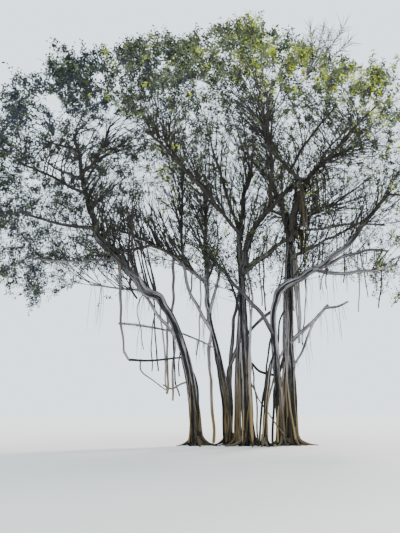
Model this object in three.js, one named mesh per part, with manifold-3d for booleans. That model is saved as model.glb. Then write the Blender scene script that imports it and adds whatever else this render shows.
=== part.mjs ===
// A banyan tree, in millimetres, +Z up, with its origin at the foot of the main trunk.
// Stems that began as hanging roots stand round the trunk, long boughs rise and spread from
// them, and the masses of leaves on the boughs' ends make one wide dome.
import * as THREE from 'three';
import Module from 'manifold-3d';
import { mergeVertices } from 'three/addons/utils/BufferGeometryUtils.js';

// How close one solid comes to the next
const GAP = 0.3;

// The crown is half of a stretched ball: its middle, and how far it reaches each way
const CROWN = {
  middle: new THREE.Vector3(-1500, -500, 12300),
  side: 13400,
  front: 11900,
  back: 10400,
  up: 9400,
};

// Bark and leaves
const BARK_COLOUR = 0x6f675c;
const ROOT_COLOUR = 0x84796a;
const LEAF_COLOUR = 0x4c5f35;

// Facets: how many steps a limb's line has, and its rings and sides
const PATH_STEPS = 24;
const STEM_RINGS = 8;
const STEM_SIDES = 10;
const RINGS_TO_FOOT = 1.6;
const BOUGH_RINGS_LEAST = 3;
const BOUGH_RING_EVERY = 950;
const STOUT = 200;
const STOUT_SIDES = 8;
const SLIM_SIDES = 6;

// How far back inside its carrier a limb starts, in its own radii
const SUNK_BACK = 0.7;

// A stem widens to its foot, and its strands stand out as ribs that run into the roots
const FLARE = 0.55;
const FLARE_HEIGHT = 620;
const RIB = 0.09;
const RIB_AT_FOOT = 0.16;
const RIB_TWIST = 2600;
const WIDE_STEM = 450;
const RIBS_ON_WIDE = 4;
const RIBS = 3;

// The tips of the twigs: how many a whole ball would have, how low they go, in degrees, and
// how deep in the crown they lie
const TWIG_TIPS = 268;
const LOW_AT_SIDES = -30;
const LOW_AT_FRONT = 7;
const SIDES_ALONE = 4;
const TIP_DEEP = 0.62;
const TIP_SHALLOW = 0.91;
const TIP_SEED = 8191;

// Twigs
const TWIG_START = 0.98;
const TWIG_FREE_AFTER = 700;
const FORK_SHARES = [0.3, 0.52];
const TWIG_RADIUS = 25;
const TWIG_GROWTH = 0.4;
const SIDE_TWIG_BASE = 0.45;

// Leaves. Each stands for a whole spray.
const LEAVES_PER_TIP = 3;
const LEAF_EVERY = 0.3;
const LEAF_LENGTH = 1850;
const LEAF_WIDTH = 980;
const LEAF_THICKNESS = 60;
const LEAF_SUNK = 6;
const LEAF_SPACING = 1000;
const LEAF_THROWS = 12;
const FIRST_SPREAD = 8;
const NEXT_SPREAD = 36;
const MORE_SPREAD = 36;
const LEAF_SWING = 2.4;
const LEAF_TILT = 20;
const LEAF_SEED = 1009;
const LEAF_SEED_STEP = 97;

// The room that twigs and leaves keep
const CROWN_LIMIT = 1.02;
const ROOM_BETWEEN_MASSES = 60;
const ROOM_ROUND_LIMBS = 40;
const LOOK_EVERY = 200;
const GOLDEN_ANGLE = Math.PI * (3 - Math.sqrt(5));

const wasm = await Module();
wasm.setup();

const radians = THREE.MathUtils.degToRad;
const lerp = THREE.MathUtils.lerp;

// The same throws in the same order each time
const dice = (seed) => () => {
  seed = (seed * 16807) % 2147483647;
  return seed / 2147483647;
};

// A direction from its bearing, round from +X towards +Y, and its rise above the level
const heading = (bearing, rise) => new THREE.Vector3(
  Math.cos(radians(rise)) * Math.cos(radians(bearing)),
  Math.cos(radians(rise)) * Math.sin(radians(bearing)),
  Math.sin(radians(rise)),
);

// Limbs in the order that they are made. Each is cut clear of those before it.
const limbs = new Map();

const pointAlong = (name, share) => {
  const { points } = limbs.get(name);
  const step = Math.min(Math.floor(share * PATH_STEPS), PATH_STEPS - 1);
  return points[step].clone().lerp(points[step + 1], share * PATH_STEPS - step);
};

// A limb's line: its heading turns and lifts evenly from one end to the other
function limbPoints(start, length, [bearing, turn], [rise, lift]) {
  const points = [start.clone()];
  for (let i = 0; i < PATH_STEPS; i += 1) {
    const share = (i + 0.5) / PATH_STEPS;
    const step = heading(bearing + turn * share, rise + lift * share);
    points.push(points[i].clone().addScaledVector(step, length / PATH_STEPS));
  }
  return points;
}

const stem = (name, [x, y], length, bearing, rise, width) => {
  const start = new THREE.Vector3(x, y, 0);
  limbs.set(name, { kind: 'stem', length, points: limbPoints(start, length, bearing, rise), width });
};

const bough = (name, [parent, share], length, bearing, rise, width) => {
  const start = pointAlong(parent, share);
  limbs.set(name, { kind: 'bough', length, points: limbPoints(start, length, bearing, rise), width });
};

const hangingRoot = (name, [parent, share], length, bearing, rise, width) => {
  const start = pointAlong(parent, share);
  limbs.set(name, { kind: 'root', length, points: limbPoints(start, length, bearing, rise), width });
};

// A limb that has grown on to another swings over to it, more and more on its way
const meets = (name, target, share) => {
  const { points } = limbs.get(name);
  const miss = pointAlong(target, share).sub(points[PATH_STEPS]);
  points.forEach((point, i) => point.addScaledVector(miss, (i / PATH_STEPS) ** 2));
};

// The trunk and the stems round it: foot, length, bearing and its turn, rise and its lift,
// width above the flare and at the top
stem('main_trunk', [0, 0], 9750, [101, 1], [90, -2], [520, 380]);
stem('right_trunk', [2370, 500], 11850, [-11, -9], [90, -7], [620, 460]);
stem('left_stem', [-2690, 200], 7800, [162, 22], [90, -26], [520, 420]);
stem('inner_right_pillar', [1790, 200], 7650, [-111, 1], [90, -13], [400, 320]);
stem('inner_left_stem', [-930, 900], 7100, [180, 0], [90, -18], [360, 280]);
stem('dark_pillar', [-520, 550], 8300, [-53, 14], [90, -5], [300, 200]);
stem('side_pillar', [810, -500], 4950, [13, 9], [90, -20], [240, 160]);
meets('dark_pillar', 'main_trunk', 0.87);
meets('side_pillar', 'inner_right_pillar', 0.65);

// Boughs of the left stem
bough('left_bough', ['left_stem', 1], 6100, [-161, 10], [33, 17], [420, 300]);
bough('left_upright_limb', ['left_bough', 1], 5600, [-137, 16], [73, -5], [260, 150]);
bough('left_low_limb', ['left_bough', 1], 4050, [-161, 27], [-7, 17], [170, 100]);
bough('left_middle_limb', ['left_upright_limb', 0.36], 3900, [-133, 3], [7, -9], [140, 90]);
bough('left_rear_limb', ['left_upright_limb', 0.51], 3400, [156, -3], [27, 12], [130, 90]);
bough('low_left_limb', ['left_bough', 0.64], 5050, [-153, 17], [-17, 12], [120, 70]);
bough('under_left_limb', ['left_stem', 0.68], 5050, [-178, 26], [51, -10], [180, 120]);
meets('under_left_limb', 'left_bough', 0.52);

// Boughs of the right trunk
bough('right_fork_left', ['right_trunk', 1], 7950, [121, 16], [81, -30], [320, 160]);
bough('right_fork_right', ['right_trunk', 0.98], 3650, [-54, -24], [69, -10], [320, 240]);
bough('upper_left_arm', ['right_fork_right', 1], 3950, [-143, 26], [5, 23], [190, 120]);
bough('upper_right_arm', ['right_fork_right', 1], 3600, [-31, 3], [31, -17], [190, 120]);
bough('front_right_bough', ['upper_right_arm', 0.25], 4600, [-72, -7], [-3, 8], [150, 100]);
bough('right_rear_limb', ['right_trunk', 0.95], 6400, [33, 0], [61, -40], [180, 120]);
bough('back_right_bough', ['right_fork_left', 0.25], 5350, [77, 2], [16, 5], [180, 110]);
bough('broken_bough', ['right_trunk', 0.44], 3250, [-37, -7], [35, 4], [220, 120]);

// Boughs of the inner right pillar
bough('right_bough', ['inner_right_pillar', 1], 3800, [-16, 8], [49, -41], [320, 240]);
bough('right_outer_bough', ['right_bough', 1], 5250, [-25, 0], [45, 2], [220, 120]);
bough('right_low_limb', ['right_bough', 0.97], 4250, [0, 20], [35, -37], [120, 80]);

// Boughs of the inner left stem
bough('inner_left_limb', ['inner_left_stem', 1], 9050, [109, -16], [91, -14], [280, 140]);
bough('upper_left_bough', ['inner_left_limb', 0.22], 8600, [174, -37], [44, -19], [200, 120]);
bough('tall_left_limb', ['upper_left_bough', 0.25], 7750, [92, 22], [83, 6], [150, 90]);
bough('back_middle_bough', ['inner_left_limb', 0.8], 4350, [92, 9], [31, -12], [170, 110]);

// Boughs of the main trunk
bough('trunk_left_limb', ['main_trunk', 1], 6150, [-62, 10], [100, -45], [300, 160]);
bough('trunk_right_limb', ['main_trunk', 0.97], 6650, [-37, 27], [82, -55], [260, 160]);
meets('trunk_right_limb', 'right_fork_right', 0.96);
bough('link_limb', ['main_trunk', 0.95], 3900, [-4, 9], [45, -3], [240, 180]);
meets('link_limb', 'right_trunk', 0.99);
bough('front_left_bough', ['trunk_left_limb', 0.35], 8300, [-134, 7], [33, -22], [170, 110]);
bough('front_middle_bough', ['trunk_right_limb', 0.65], 5900, [-90, -21], [37, -35], [170, 110]);

// A limb that leans from the inner right pillar, past the main trunk, on to the inner left limb
bough('diagonal_limb', ['inner_right_pillar', 0.75], 7200, [-145, -101], [52, -4], [200, 130]);
meets('diagonal_limb', 'inner_left_limb', 0.47);

// Roots that hang from the boughs. The middle one has grown on to the left stem.
hangingRoot('left_hanging_root', ['left_bough', 0.6], 5200, [-20, 40], [-86, 4], [170, 90]);
hangingRoot('middle_hanging_root', ['upper_left_bough', 0.33], 4200, [-76, 2], [-78, 4], [150, 130]);
meets('middle_hanging_root', 'left_stem', 0.91);
hangingRoot('right_hanging_root', ['right_low_limb', 0.55], 2700, [-30, 30], [-88, 0], [70, 40]);

// Masses of leaves: the bough that carries each, and the bearing and rise of its middle
const MASSES = {
  right_rim_leaves: ['right_outer_bough', -15, 9],
  right_rear_leaves: ['right_rear_limb', 28, 22],
  back_right_leaves: ['back_right_bough', 62, 24],
  back_middle_leaves: ['back_middle_bough', 100, 26],
  back_left_leaves: ['upper_left_bough', 142, 17],
  left_side_leaves: ['left_rear_limb', 176, 34],
  left_front_leaves: ['left_middle_limb', 210, 12],
  left_low_leaves: ['left_low_limb', 188, 0],
  low_left_leaves: ['low_left_limb', 196, -22],
  left_top_leaves: ['left_upright_limb', 204, 42],
  front_left_leaves: ['front_left_bough', 243, 30],
  front_middle_leaves: ['front_middle_bough', 281, 28],
  front_right_leaves: ['front_right_bough', 316, 24],
  upper_right_leaves: ['upper_right_arm', 352, 38],
  top_front_leaves: ['upper_left_arm', 300, 55],
  top_middle_leaves: ['trunk_left_limb', 350, 76],
  top_left_leaves: ['tall_left_limb', 165, 60],
  top_back_leaves: ['inner_left_limb', 95, 54],
  top_right_leaves: ['right_fork_left', 38, 56],
  right_low_leaves: ['right_low_limb', 4, -13],
};

// A point of the crown: a direction on the ball, stretched to the crown, and a share of the
// way out to its surface
function crownPoint(direction, share) {
  const depth = direction.y < 0 ? CROWN.front : CROWN.back;
  return new THREE.Vector3(
    CROWN.middle.x + direction.x * CROWN.side * share,
    CROWN.middle.y + direction.y * depth * share,
    CROWN.middle.z + direction.z * CROWN.up * share,
  );
}

function shareOfCrown(point) {
  const out = point.clone().sub(CROWN.middle);
  const depth = out.y < 0 ? CROWN.front : CROWN.back;
  return Math.hypot(out.x / CROWN.side, out.y / depth, out.z / CROWN.up);
}

const MASS_SHARE = 0.84;
const massMiddles = Object.values(MASSES)
  .map(([, bearing, rise]) => crownPoint(heading(bearing, rise), MASS_SHARE));

const nearestMass = (point) => {
  const distances = massMiddles.map((middle) => middle.distanceTo(point));
  return distances.indexOf(Math.min(...distances));
};

// How far a point lies inside the space of its own mass
function roomInMass(point, own) {
  const middle = massMiddles[own];
  const rooms = massMiddles.filter((other) => other !== middle).map((other) => (
    (point.distanceToSquared(other) - point.distanceToSquared(middle)) / (2 * other.distanceTo(middle))
  ));
  return Math.min(...rooms);
}

const limbRadius = ({ width: [start, end] }, share) => lerp(start, end, share) / 2;

// How far a point lies from the bark of the nearest limb
const segment = new THREE.Line3();
const nearest = new THREE.Vector3();
function roomToLimbs(point) {
  let room = Infinity;
  for (const limb of limbs.values()) {
    for (let i = 0; i < PATH_STEPS; i += 1) {
      segment.set(limb.points[i], limb.points[i + 1]);
      segment.closestPointToPoint(point, true, nearest);
      room = Math.min(room, nearest.distanceTo(point) - limbRadius(limb, i / PATH_STEPS));
    }
  }
  return room;
}

// The tips of the twigs lie evenly over the dome, near its surface, and lower at the sides
function twigTips() {
  const throwDice = dice(TIP_SEED);
  const tips = [];
  for (let i = 0; i < TWIG_TIPS; i += 1) {
    const z = 1 - (2 * i + 1) / TWIG_TIPS;
    const bearing = i * GOLDEN_ANGLE;
    const flat = Math.sqrt(1 - z * z);
    const direction = new THREE.Vector3(flat * Math.cos(bearing), flat * Math.sin(bearing), z);
    const lowest = lerp(LOW_AT_FRONT, LOW_AT_SIDES, Math.cos(bearing) ** SIDES_ALONE);
    const depth = throwDice();
    if (z >= Math.sin(radians(lowest))) {
      tips.push(crownPoint(direction, lerp(TIP_SHALLOW, TIP_DEEP, depth * depth)));
    }
  }
  return tips;
}

// A closed geometry as a solid, and back
function solidOf(geometry) {
  const bare = geometry.clone();
  bare.deleteAttribute('normal');
  bare.deleteAttribute('uv');
  const merged = mergeVertices(bare, 0.01);
  return new wasm.Manifold(new wasm.Mesh({
    numProp: 3,
    vertProperties: new Float32Array(merged.attributes.position.array),
    triVerts: new Uint32Array(merged.index.array),
  }));
}

function geometryOf(solid) {
  const mesh = solid.getMesh();
  const geometry = new THREE.BufferGeometry();
  geometry.setAttribute('position', new THREE.BufferAttribute(new Float32Array(mesh.vertProperties), 3));
  geometry.setIndex(new THREE.BufferAttribute(new Uint32Array(mesh.triVerts), 1));
  geometry.computeVertexNormals();
  return geometry;
}

// Cutting can leave loose scraps, and only the piece itself is kept
const largest = (solid) => solid.decompose()
  .reduce((best, piece) => (piece.volume() > best.volume() ? piece : best));

// The ribs and the flare of a stem, as a share of its radius
function stemSwell(height, angle, ribs) {
  const low = Math.exp(-height / FLARE_HEIGHT);
  const rib = lerp(RIB, RIB_AT_FOOT, low) * Math.cos(ribs * angle + height / RIB_TWIST);
  return (1 + FLARE * low) * (1 + rib);
}

const ringCount = ({ kind, length }) => (
  kind === 'stem' ? STEM_RINGS : Math.max(BOUGH_RINGS_LEAST, Math.round(length / BOUGH_RING_EVERY))
);

// A limb as a cylinder bent along its line. It starts a little way back inside its carrier.
function limbGeometry(limb, extra) {
  const rings = ringCount(limb);
  const slender = limb.width[0] > STOUT ? STOUT_SIDES : SLIM_SIDES;
  const sides = limb.kind === 'stem' ? STEM_SIDES : slender;
  const geometry = new THREE.CylinderGeometry(1, 1, 1, sides, rings);
  const position = geometry.attributes.position;
  const ribs = limb.width[0] > WIDE_STEM ? RIBS_ON_WIDE : RIBS;
  const frames = limbFrames(limb, rings, extra);
  for (let i = 0; i < position.count; i += 1) {
    const frame = frames[Math.round((position.getY(i) + 0.5) * rings)];
    const x = position.getX(i);
    const y = position.getZ(i);
    const swell = limb.kind === 'stem' ? stemSwell(frame.middle.z, Math.atan2(y, x), ribs) : 1;
    const radius = frame.radius * swell + extra;
    const point = frame.middle.clone()
      .addScaledVector(frame.across, x * radius)
      .addScaledVector(frame.up, -y * radius);
    position.setXYZ(i, point.x, point.y, point.z);
  }
  return geometry;
}

// The middle, radius and two cross directions of each ring of a limb. A stem's foot is level.
function limbFrames(limb, rings, extra) {
  const { points } = limb;
  const isStem = limb.kind === 'stem';
  const frames = [];
  let across = new THREE.Vector3(1, 0, 0);
  for (let k = 0; k <= rings; k += 1) {
    const share = ringShare(limb, k / rings);
    const step = Math.min(Math.floor(share * PATH_STEPS), PATH_STEPS - 1);
    const along = points[step + 1].clone().sub(points[step]).normalize();
    if (k === 0 && isStem) along.set(0, 0, 1);
    across = across.clone().addScaledVector(along, -across.dot(along)).normalize();
    const middle = points[step].clone().lerp(points[step + 1], share * PATH_STEPS - step);
    const radius = limbRadius(limb, share);
    if (k === 0 && !isStem) middle.addScaledVector(along, -radius * SUNK_BACK - extra);
    if (k === rings) middle.addScaledVector(along, extra);
    frames.push({ middle, radius, across, up: across.clone().cross(along).negate() });
  }
  return frames;
}

// A stem's rings lie closer together in its flare
const ringShare = ({ kind }, share) => (kind === 'stem' ? share ** RINGS_TO_FOOT : share);

const boxesMeet = (a, b) => {
  const first = a.boundingBox();
  const second = b.boundingBox();
  return [0, 1, 2].every((k) => first.min[k] < second.max[k] && second.min[k] < first.max[k]);
};

// Each limb is cut clear of the limbs made before it
const clearances = new Map();
function cutClear(solid) {
  let cut = solid;
  for (const clearance of clearances.values()) {
    if (boxesMeet(cut, clearance)) cut = cut.subtract(clearance);
  }
  return largest(cut);
}

function limbSolid(name, limb) {
  const solid = cutClear(solidOf(limbGeometry(limb, 0)));
  clearances.set(name, solidOf(limbGeometry(limb, GAP)));
  return solid;
}

// A three-sided twig from one point to another
const UP = new THREE.Vector3(0, 1, 0);
function twigSolid(from, to, startRadius, endRadius) {
  const along = to.clone().sub(from);
  const length = along.length();
  const geometry = new THREE.CylinderGeometry(endRadius, startRadius, length, 3, 1);
  geometry.translate(0, length / 2, 0);
  geometry.applyQuaternion(new THREE.Quaternion().setFromUnitVectors(UP, along.normalize()));
  geometry.translate(from.x, from.y, from.z);
  return solidOf(geometry);
}

// A leaf of eight faces, its root sunk in the twig's tip
function leafSolid(root, along, across) {
  const flat = across.clone().addScaledVector(along, -across.dot(along)).normalize();
  const face = along.clone().cross(flat);
  const geometry = new THREE.OctahedronGeometry(1);
  geometry.scale(LEAF_LENGTH / 2, LEAF_WIDTH / 2, LEAF_THICKNESS / 2);
  geometry.translate(LEAF_LENGTH / 2 - LEAF_SUNK, 0, 0);
  geometry.applyMatrix4(new THREE.Matrix4().makeBasis(along, flat, face).setPosition(root));
  return solidOf(geometry);
}

// Whether a point keeps to its mass's space, inside the crown and clear of the limbs
const keepsClear = (point, own, room) => shareOfCrown(point) < CROWN_LIMIT
  && roomInMass(point, own) > room + ROOM_BETWEEN_MASSES
  && roomToLimbs(point) > room + ROOM_ROUND_LIMBS;

function twigKeepsClear(from, to, own, radius, skipStart) {
  const samples = Math.ceil(from.distanceTo(to) / LOOK_EVERY);
  for (let i = 0; i <= samples; i += 1) {
    const point = from.clone().lerp(to, i / samples);
    if (point.distanceTo(from) >= skipStart && !keepsClear(point, own, radius)) return false;
  }
  return true;
}

// The leaves made so far, by their middles, which lie apart
const leafMiddles = [];
function leafKeepsClear(root, along, across, own) {
  const middle = root.clone().addScaledVector(along, LEAF_LENGTH / 2 - LEAF_SUNK);
  const tip = root.clone().addScaledVector(along, LEAF_LENGTH - LEAF_SUNK);
  const left = middle.clone().addScaledVector(across, LEAF_WIDTH / 2);
  const right = middle.clone().addScaledVector(across, -LEAF_WIDTH / 2);
  return leafMiddles.every((other) => other.distanceTo(middle) > LEAF_SPACING)
    && [middle, tip, left, right].every((point) => keepsClear(point, own, LEAF_THICKNESS));
}

const averageOf = (points) => points
  .reduce((sum, point) => sum.add(point), new THREE.Vector3())
  .divideScalar(points.length);

const farthestFrom = (start, points) => points
  .reduce((best, point) => (point.distanceTo(start) > best.distanceTo(start) ? point : best));

const nearestTo = (start, points) => points
  .reduce((best, point) => (point.distanceTo(start) < best.distanceTo(start) ? point : best));

// Two groups of tips: each tip goes with the nearer of the two that lie farthest apart
function parted(tips) {
  const first = farthestFrom(averageOf(tips), tips);
  const second = farthestFrom(first, tips);
  const withFirst = tips.filter((tip) => tip.distanceTo(first) <= tip.distanceTo(second));
  return [withFirst, tips.filter((tip) => !withFirst.includes(tip))];
}

// Leaves stand out round the end of a twig, the first one straight on from its tip
function addLeaves(mass, from, tip) {
  const along = tip.clone().sub(from).normalize();
  const side = new THREE.Vector3(along.y, -along.x, 0).normalize();
  const up = along.clone().cross(side);
  for (let i = 0; i < LEAVES_PER_TIP; i += 1) {
    for (let attempt = 0; attempt < LEAF_THROWS; attempt += 1) {
      const around = i * GOLDEN_ANGLE + mass.throwDice() * LEAF_SWING;
      const spread = radians((i === 0 ? FIRST_SPREAD : NEXT_SPREAD) + MORE_SPREAD * mass.throwDice());
      const out = along.clone().multiplyScalar(Math.cos(spread))
        .addScaledVector(side, Math.sin(spread) * Math.cos(around))
        .addScaledVector(up, Math.sin(spread) * Math.sin(around));
      const across = heading(360 * mass.throwDice(), LEAF_TILT * (2 * mass.throwDice() - 1));
      across.addScaledVector(out, -across.dot(out)).normalize();
      const root = tip.clone().lerp(from, i * LEAF_EVERY);
      if (leafKeepsClear(root, out, across, mass.own)) {
        mass.pieces.push(leafSolid(root, out, across));
        leafMiddles.push(root.clone().addScaledVector(out, LEAF_LENGTH / 2));
        break;
      }
    }
  }
}

// A twig runs to the middlemost of its tips. The other tips part in two groups, whose own
// twigs leave it on the way, slim enough at their base to start inside it.
function growTwigs(mass, from, tips, radius, skipStart) {
  const main = nearestTo(averageOf(tips), tips);
  const others = tips.filter((tip) => tip !== main);
  if (!twigKeepsClear(from, main, mass.own, radius, skipStart)) return;
  mass.pieces.push(twigSolid(from, main, radius, TWIG_RADIUS));
  addLeaves(mass, from, main);
  if (others.length === 0) return;
  parted(others).forEach((group, i) => {
    if (group.length === 0) return;
    const base = SIDE_TWIG_BASE * lerp(radius, TWIG_RADIUS, FORK_SHARES[i]);
    growTwigs(mass, from.clone().lerp(main, FORK_SHARES[i]), group, base, 0);
  });
}

// A mass starts inside its bough's tip, and is cut clear of the bough afterwards
function massSolid(name, own, tips) {
  const [carrier] = MASSES[name];
  const from = pointAlong(carrier, TWIG_START);
  const mass = { own, pieces: [], throwDice: dice(LEAF_SEED + LEAF_SEED_STEP * own) };
  growTwigs(mass, from, tips, TWIG_RADIUS * tips.length ** TWIG_GROWTH, TWIG_FREE_AFTER);
  const joined = mass.pieces.reduce((sum, piece) => sum.add(piece));
  return cutClear(joined);
}

const bark = (colour) => new THREE.MeshStandardMaterial({
  color: colour, roughness: 0.9, metalness: 0, flatShading: true,
});
const foliage = () => new THREE.MeshStandardMaterial({
  color: LEAF_COLOUR, roughness: 0.6, metalness: 0, flatShading: true,
});

const tree = new THREE.Group();
function addNode(name, solid, material) {
  const mesh = new THREE.Mesh(geometryOf(solid), material);
  mesh.name = name;
  tree.add(mesh);
}

for (const [name, limb] of limbs) {
  addNode(name, limbSolid(name, limb), bark(limb.kind === 'root' ? ROOT_COLOUR : BARK_COLOUR));
}

const tips = twigTips();
Object.keys(MASSES).forEach((name, own) => {
  const mine = tips.filter((tip) => nearestMass(tip) === own);
  addNode(name, massSolid(name, own, mine), foliage());
});

export default tree;
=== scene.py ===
"""A banyan tree, in metres, +Z up, with its origin at the foot of the main trunk.

The sections follow the tree as it grows: stems and boughs, the roots at their feet, thinner
limbs, roots that hang and cling, twigs, and last the leaves.
"""

import math

import bmesh
import bpy
import numpy as np
from numpy.linalg import norm
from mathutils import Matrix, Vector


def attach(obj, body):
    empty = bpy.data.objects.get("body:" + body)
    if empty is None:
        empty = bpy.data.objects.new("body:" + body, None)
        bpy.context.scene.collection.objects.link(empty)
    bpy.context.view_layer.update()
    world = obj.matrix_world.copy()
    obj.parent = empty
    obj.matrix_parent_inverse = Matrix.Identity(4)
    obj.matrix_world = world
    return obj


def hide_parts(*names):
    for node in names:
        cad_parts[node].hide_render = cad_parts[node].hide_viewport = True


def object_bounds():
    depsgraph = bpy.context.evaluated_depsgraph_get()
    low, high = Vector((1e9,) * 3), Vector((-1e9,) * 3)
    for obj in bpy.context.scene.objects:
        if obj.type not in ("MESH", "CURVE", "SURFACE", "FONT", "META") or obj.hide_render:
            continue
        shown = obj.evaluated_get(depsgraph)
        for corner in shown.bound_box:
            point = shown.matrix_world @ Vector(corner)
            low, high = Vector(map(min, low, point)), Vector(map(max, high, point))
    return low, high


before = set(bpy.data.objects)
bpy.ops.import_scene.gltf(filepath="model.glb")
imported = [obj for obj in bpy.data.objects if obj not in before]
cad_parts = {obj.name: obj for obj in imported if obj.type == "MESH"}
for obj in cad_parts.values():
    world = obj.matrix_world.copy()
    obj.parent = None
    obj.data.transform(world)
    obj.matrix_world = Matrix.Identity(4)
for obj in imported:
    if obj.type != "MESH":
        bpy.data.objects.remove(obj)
cad_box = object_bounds()


# Stems and boughs
# The trunk is a bundle of roots that once hung from the boughs, reached the ground and grew
# together. The stems round it are younger bundles, and the boughs spread from their tops to
# carry the crown. All are living wood, grown into each other, under thin grey bark.

LINE_STEPS = 24


def heading(bearing, rise):
    """A direction from its bearing, round from +X towards +Y, and its rise, in degrees."""
    bearing, rise = math.radians(bearing), math.radians(rise)
    flat = math.cos(rise)
    return np.array([flat * math.cos(bearing), flat * math.sin(bearing), math.sin(rise)])


limbs = {}


def limb(kind, name, start, length, bearing, rise, width):
    """A limb's line turns and lifts evenly from one end to the other."""
    line = [np.array(start, float)]
    for i in range(LINE_STEPS):
        share = (i + 0.5) / LINE_STEPS
        step = heading(bearing[0] + bearing[1] * share, rise[0] + rise[1] * share)
        line.append(line[-1] + step * length / LINE_STEPS)
    limbs[name] = {"kind": kind, "length": length, "line": np.array(line), "width": width}


def along_line(line, shares):
    """Points of a line, with its corners rounded."""
    steps = len(line) - 1
    place = np.atleast_1d(shares) * steps
    i = np.clip(place.astype(int), 0, steps - 1)
    f = (place - i)[:, None]
    before, here = line[np.maximum(i - 1, 0)], line[i]
    after, next_after = line[i + 1], line[np.minimum(i + 2, steps)]
    return here + 0.5 * f * (after - before + f * (
        2 * before - 5 * here + 4 * after - next_after
        + f * (3 * here - before - 3 * after + next_after)))


def point_along(name, share):
    line = limbs[name]["line"]
    step = min(int(share * LINE_STEPS), LINE_STEPS - 1)
    return line[step] + (line[step + 1] - line[step]) * (share * LINE_STEPS - step)


def meets(name, target, share):
    """A limb that has grown on to another swings over to it, more and more on its way."""
    line = limbs[name]["line"]
    miss = point_along(target, share) - line[-1]
    line += miss * (np.arange(LINE_STEPS + 1)[:, None] / LINE_STEPS) ** 2


def stem(name, foot, *form):
    limb("stem", name, (*foot, 0.0), *form)


def bough(name, carrier, *form):
    limb("bough", name, point_along(*carrier), *form)


# Foot or carrier, length, bearing and its turn, rise and its lift, width at both ends
stem("main_trunk", (0, 0), 9.75, (101, 1), (90, -2), (0.52, 0.38))
stem("right_trunk", (2.37, 0.5), 11.85, (-11, -9), (90, -7), (0.62, 0.46))
stem("left_stem", (-2.69, 0.2), 7.8, (162, 22), (90, -26), (0.52, 0.42))
stem("inner_right_pillar", (1.79, 0.2), 7.65, (-111, 1), (90, -13), (0.4, 0.32))
stem("inner_left_stem", (-0.93, 0.9), 7.1, (180, 0), (90, -18), (0.36, 0.28))
stem("dark_pillar", (-0.52, 0.55), 8.3, (-53, 14), (90, -5), (0.3, 0.2))
stem("side_pillar", (0.81, -0.5), 4.95, (13, 9), (90, -20), (0.24, 0.16))
meets("dark_pillar", "main_trunk", 0.87)
meets("side_pillar", "inner_right_pillar", 0.65)

# Boughs of the left stem
bough("left_bough", ("left_stem", 1), 6.1, (-161, 10), (33, 17), (0.42, 0.3))
bough("left_upright_limb", ("left_bough", 1), 5.6, (-137, 16), (73, -5), (0.26, 0.15))
bough("left_low_limb", ("left_bough", 1), 4.05, (-161, 27), (-7, 17), (0.17, 0.1))
bough("left_middle_limb", ("left_upright_limb", 0.36), 3.9, (-133, 3), (7, -9), (0.14, 0.09))
bough("left_rear_limb", ("left_upright_limb", 0.51), 3.4, (156, -3), (27, 12), (0.13, 0.09))
bough("low_left_limb", ("left_bough", 0.64), 5.05, (-153, 17), (-17, 12), (0.12, 0.07))
bough("under_left_limb", ("left_stem", 0.68), 5.05, (-178, 26), (51, -10), (0.18, 0.12))
meets("under_left_limb", "left_bough", 0.52)

# Boughs of the right trunk
bough("right_fork_left", ("right_trunk", 1), 7.95, (121, 16), (81, -30), (0.32, 0.16))
bough("right_fork_right", ("right_trunk", 0.98), 3.65, (-54, -24), (69, -10), (0.32, 0.24))
bough("upper_left_arm", ("right_fork_right", 1), 3.95, (-143, 26), (5, 23), (0.19, 0.12))
bough("upper_right_arm", ("right_fork_right", 1), 3.6, (-31, 3), (31, -17), (0.19, 0.12))
bough("front_right_bough", ("upper_right_arm", 0.25), 4.6, (-72, -7), (-3, 8), (0.15, 0.1))
bough("right_rear_limb", ("right_trunk", 0.95), 6.4, (33, 0), (61, -40), (0.18, 0.12))
bough("back_right_bough", ("right_fork_left", 0.25), 5.35, (77, 2), (16, 5), (0.18, 0.11))
bough("broken_bough", ("right_trunk", 0.44), 3.25, (-37, -7), (35, 4), (0.22, 0.12))

# Boughs of the inner right pillar
bough("right_bough", ("inner_right_pillar", 1), 3.8, (-16, 8), (49, -41), (0.32, 0.24))
bough("right_outer_bough", ("right_bough", 1), 5.25, (-25, 0), (45, 2), (0.22, 0.12))
bough("right_low_limb", ("right_bough", 0.97), 4.25, (0, 20), (35, -37), (0.12, 0.08))

# Boughs of the inner left stem
bough("inner_left_limb", ("inner_left_stem", 1), 9.05, (109, -16), (91, -14), (0.28, 0.14))
bough("upper_left_bough", ("inner_left_limb", 0.22), 8.6, (174, -37), (44, -19), (0.2, 0.12))
bough("tall_left_limb", ("upper_left_bough", 0.25), 7.75, (92, 22), (83, 6), (0.15, 0.09))
bough("back_middle_bough", ("inner_left_limb", 0.8), 4.35, (92, 9), (31, -12), (0.17, 0.11))

# Boughs of the main trunk
bough("trunk_left_limb", ("main_trunk", 1), 6.15, (-62, 10), (100, -45), (0.3, 0.16))
bough("trunk_right_limb", ("main_trunk", 0.97), 6.65, (-37, 27), (82, -55), (0.26, 0.16))
meets("trunk_right_limb", "right_fork_right", 0.96)
bough("link_limb", ("main_trunk", 0.95), 3.9, (-4, 9), (45, -3), (0.24, 0.18))
meets("link_limb", "right_trunk", 0.99)
bough("front_left_bough", ("trunk_left_limb", 0.35), 8.3, (-134, 7), (33, -22), (0.17, 0.11))
bough("front_middle_bough", ("trunk_right_limb", 0.65), 5.9, (-90, -21), (37, -35), (0.17, 0.11))

# A limb that leans from the inner right pillar, past the main trunk, on to the inner left limb
bough("diagonal_limb", ("inner_right_pillar", 0.75), 7.2, (-145, -101), (52, -4), (0.2, 0.13))
meets("diagonal_limb", "inner_left_limb", 0.47)


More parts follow.
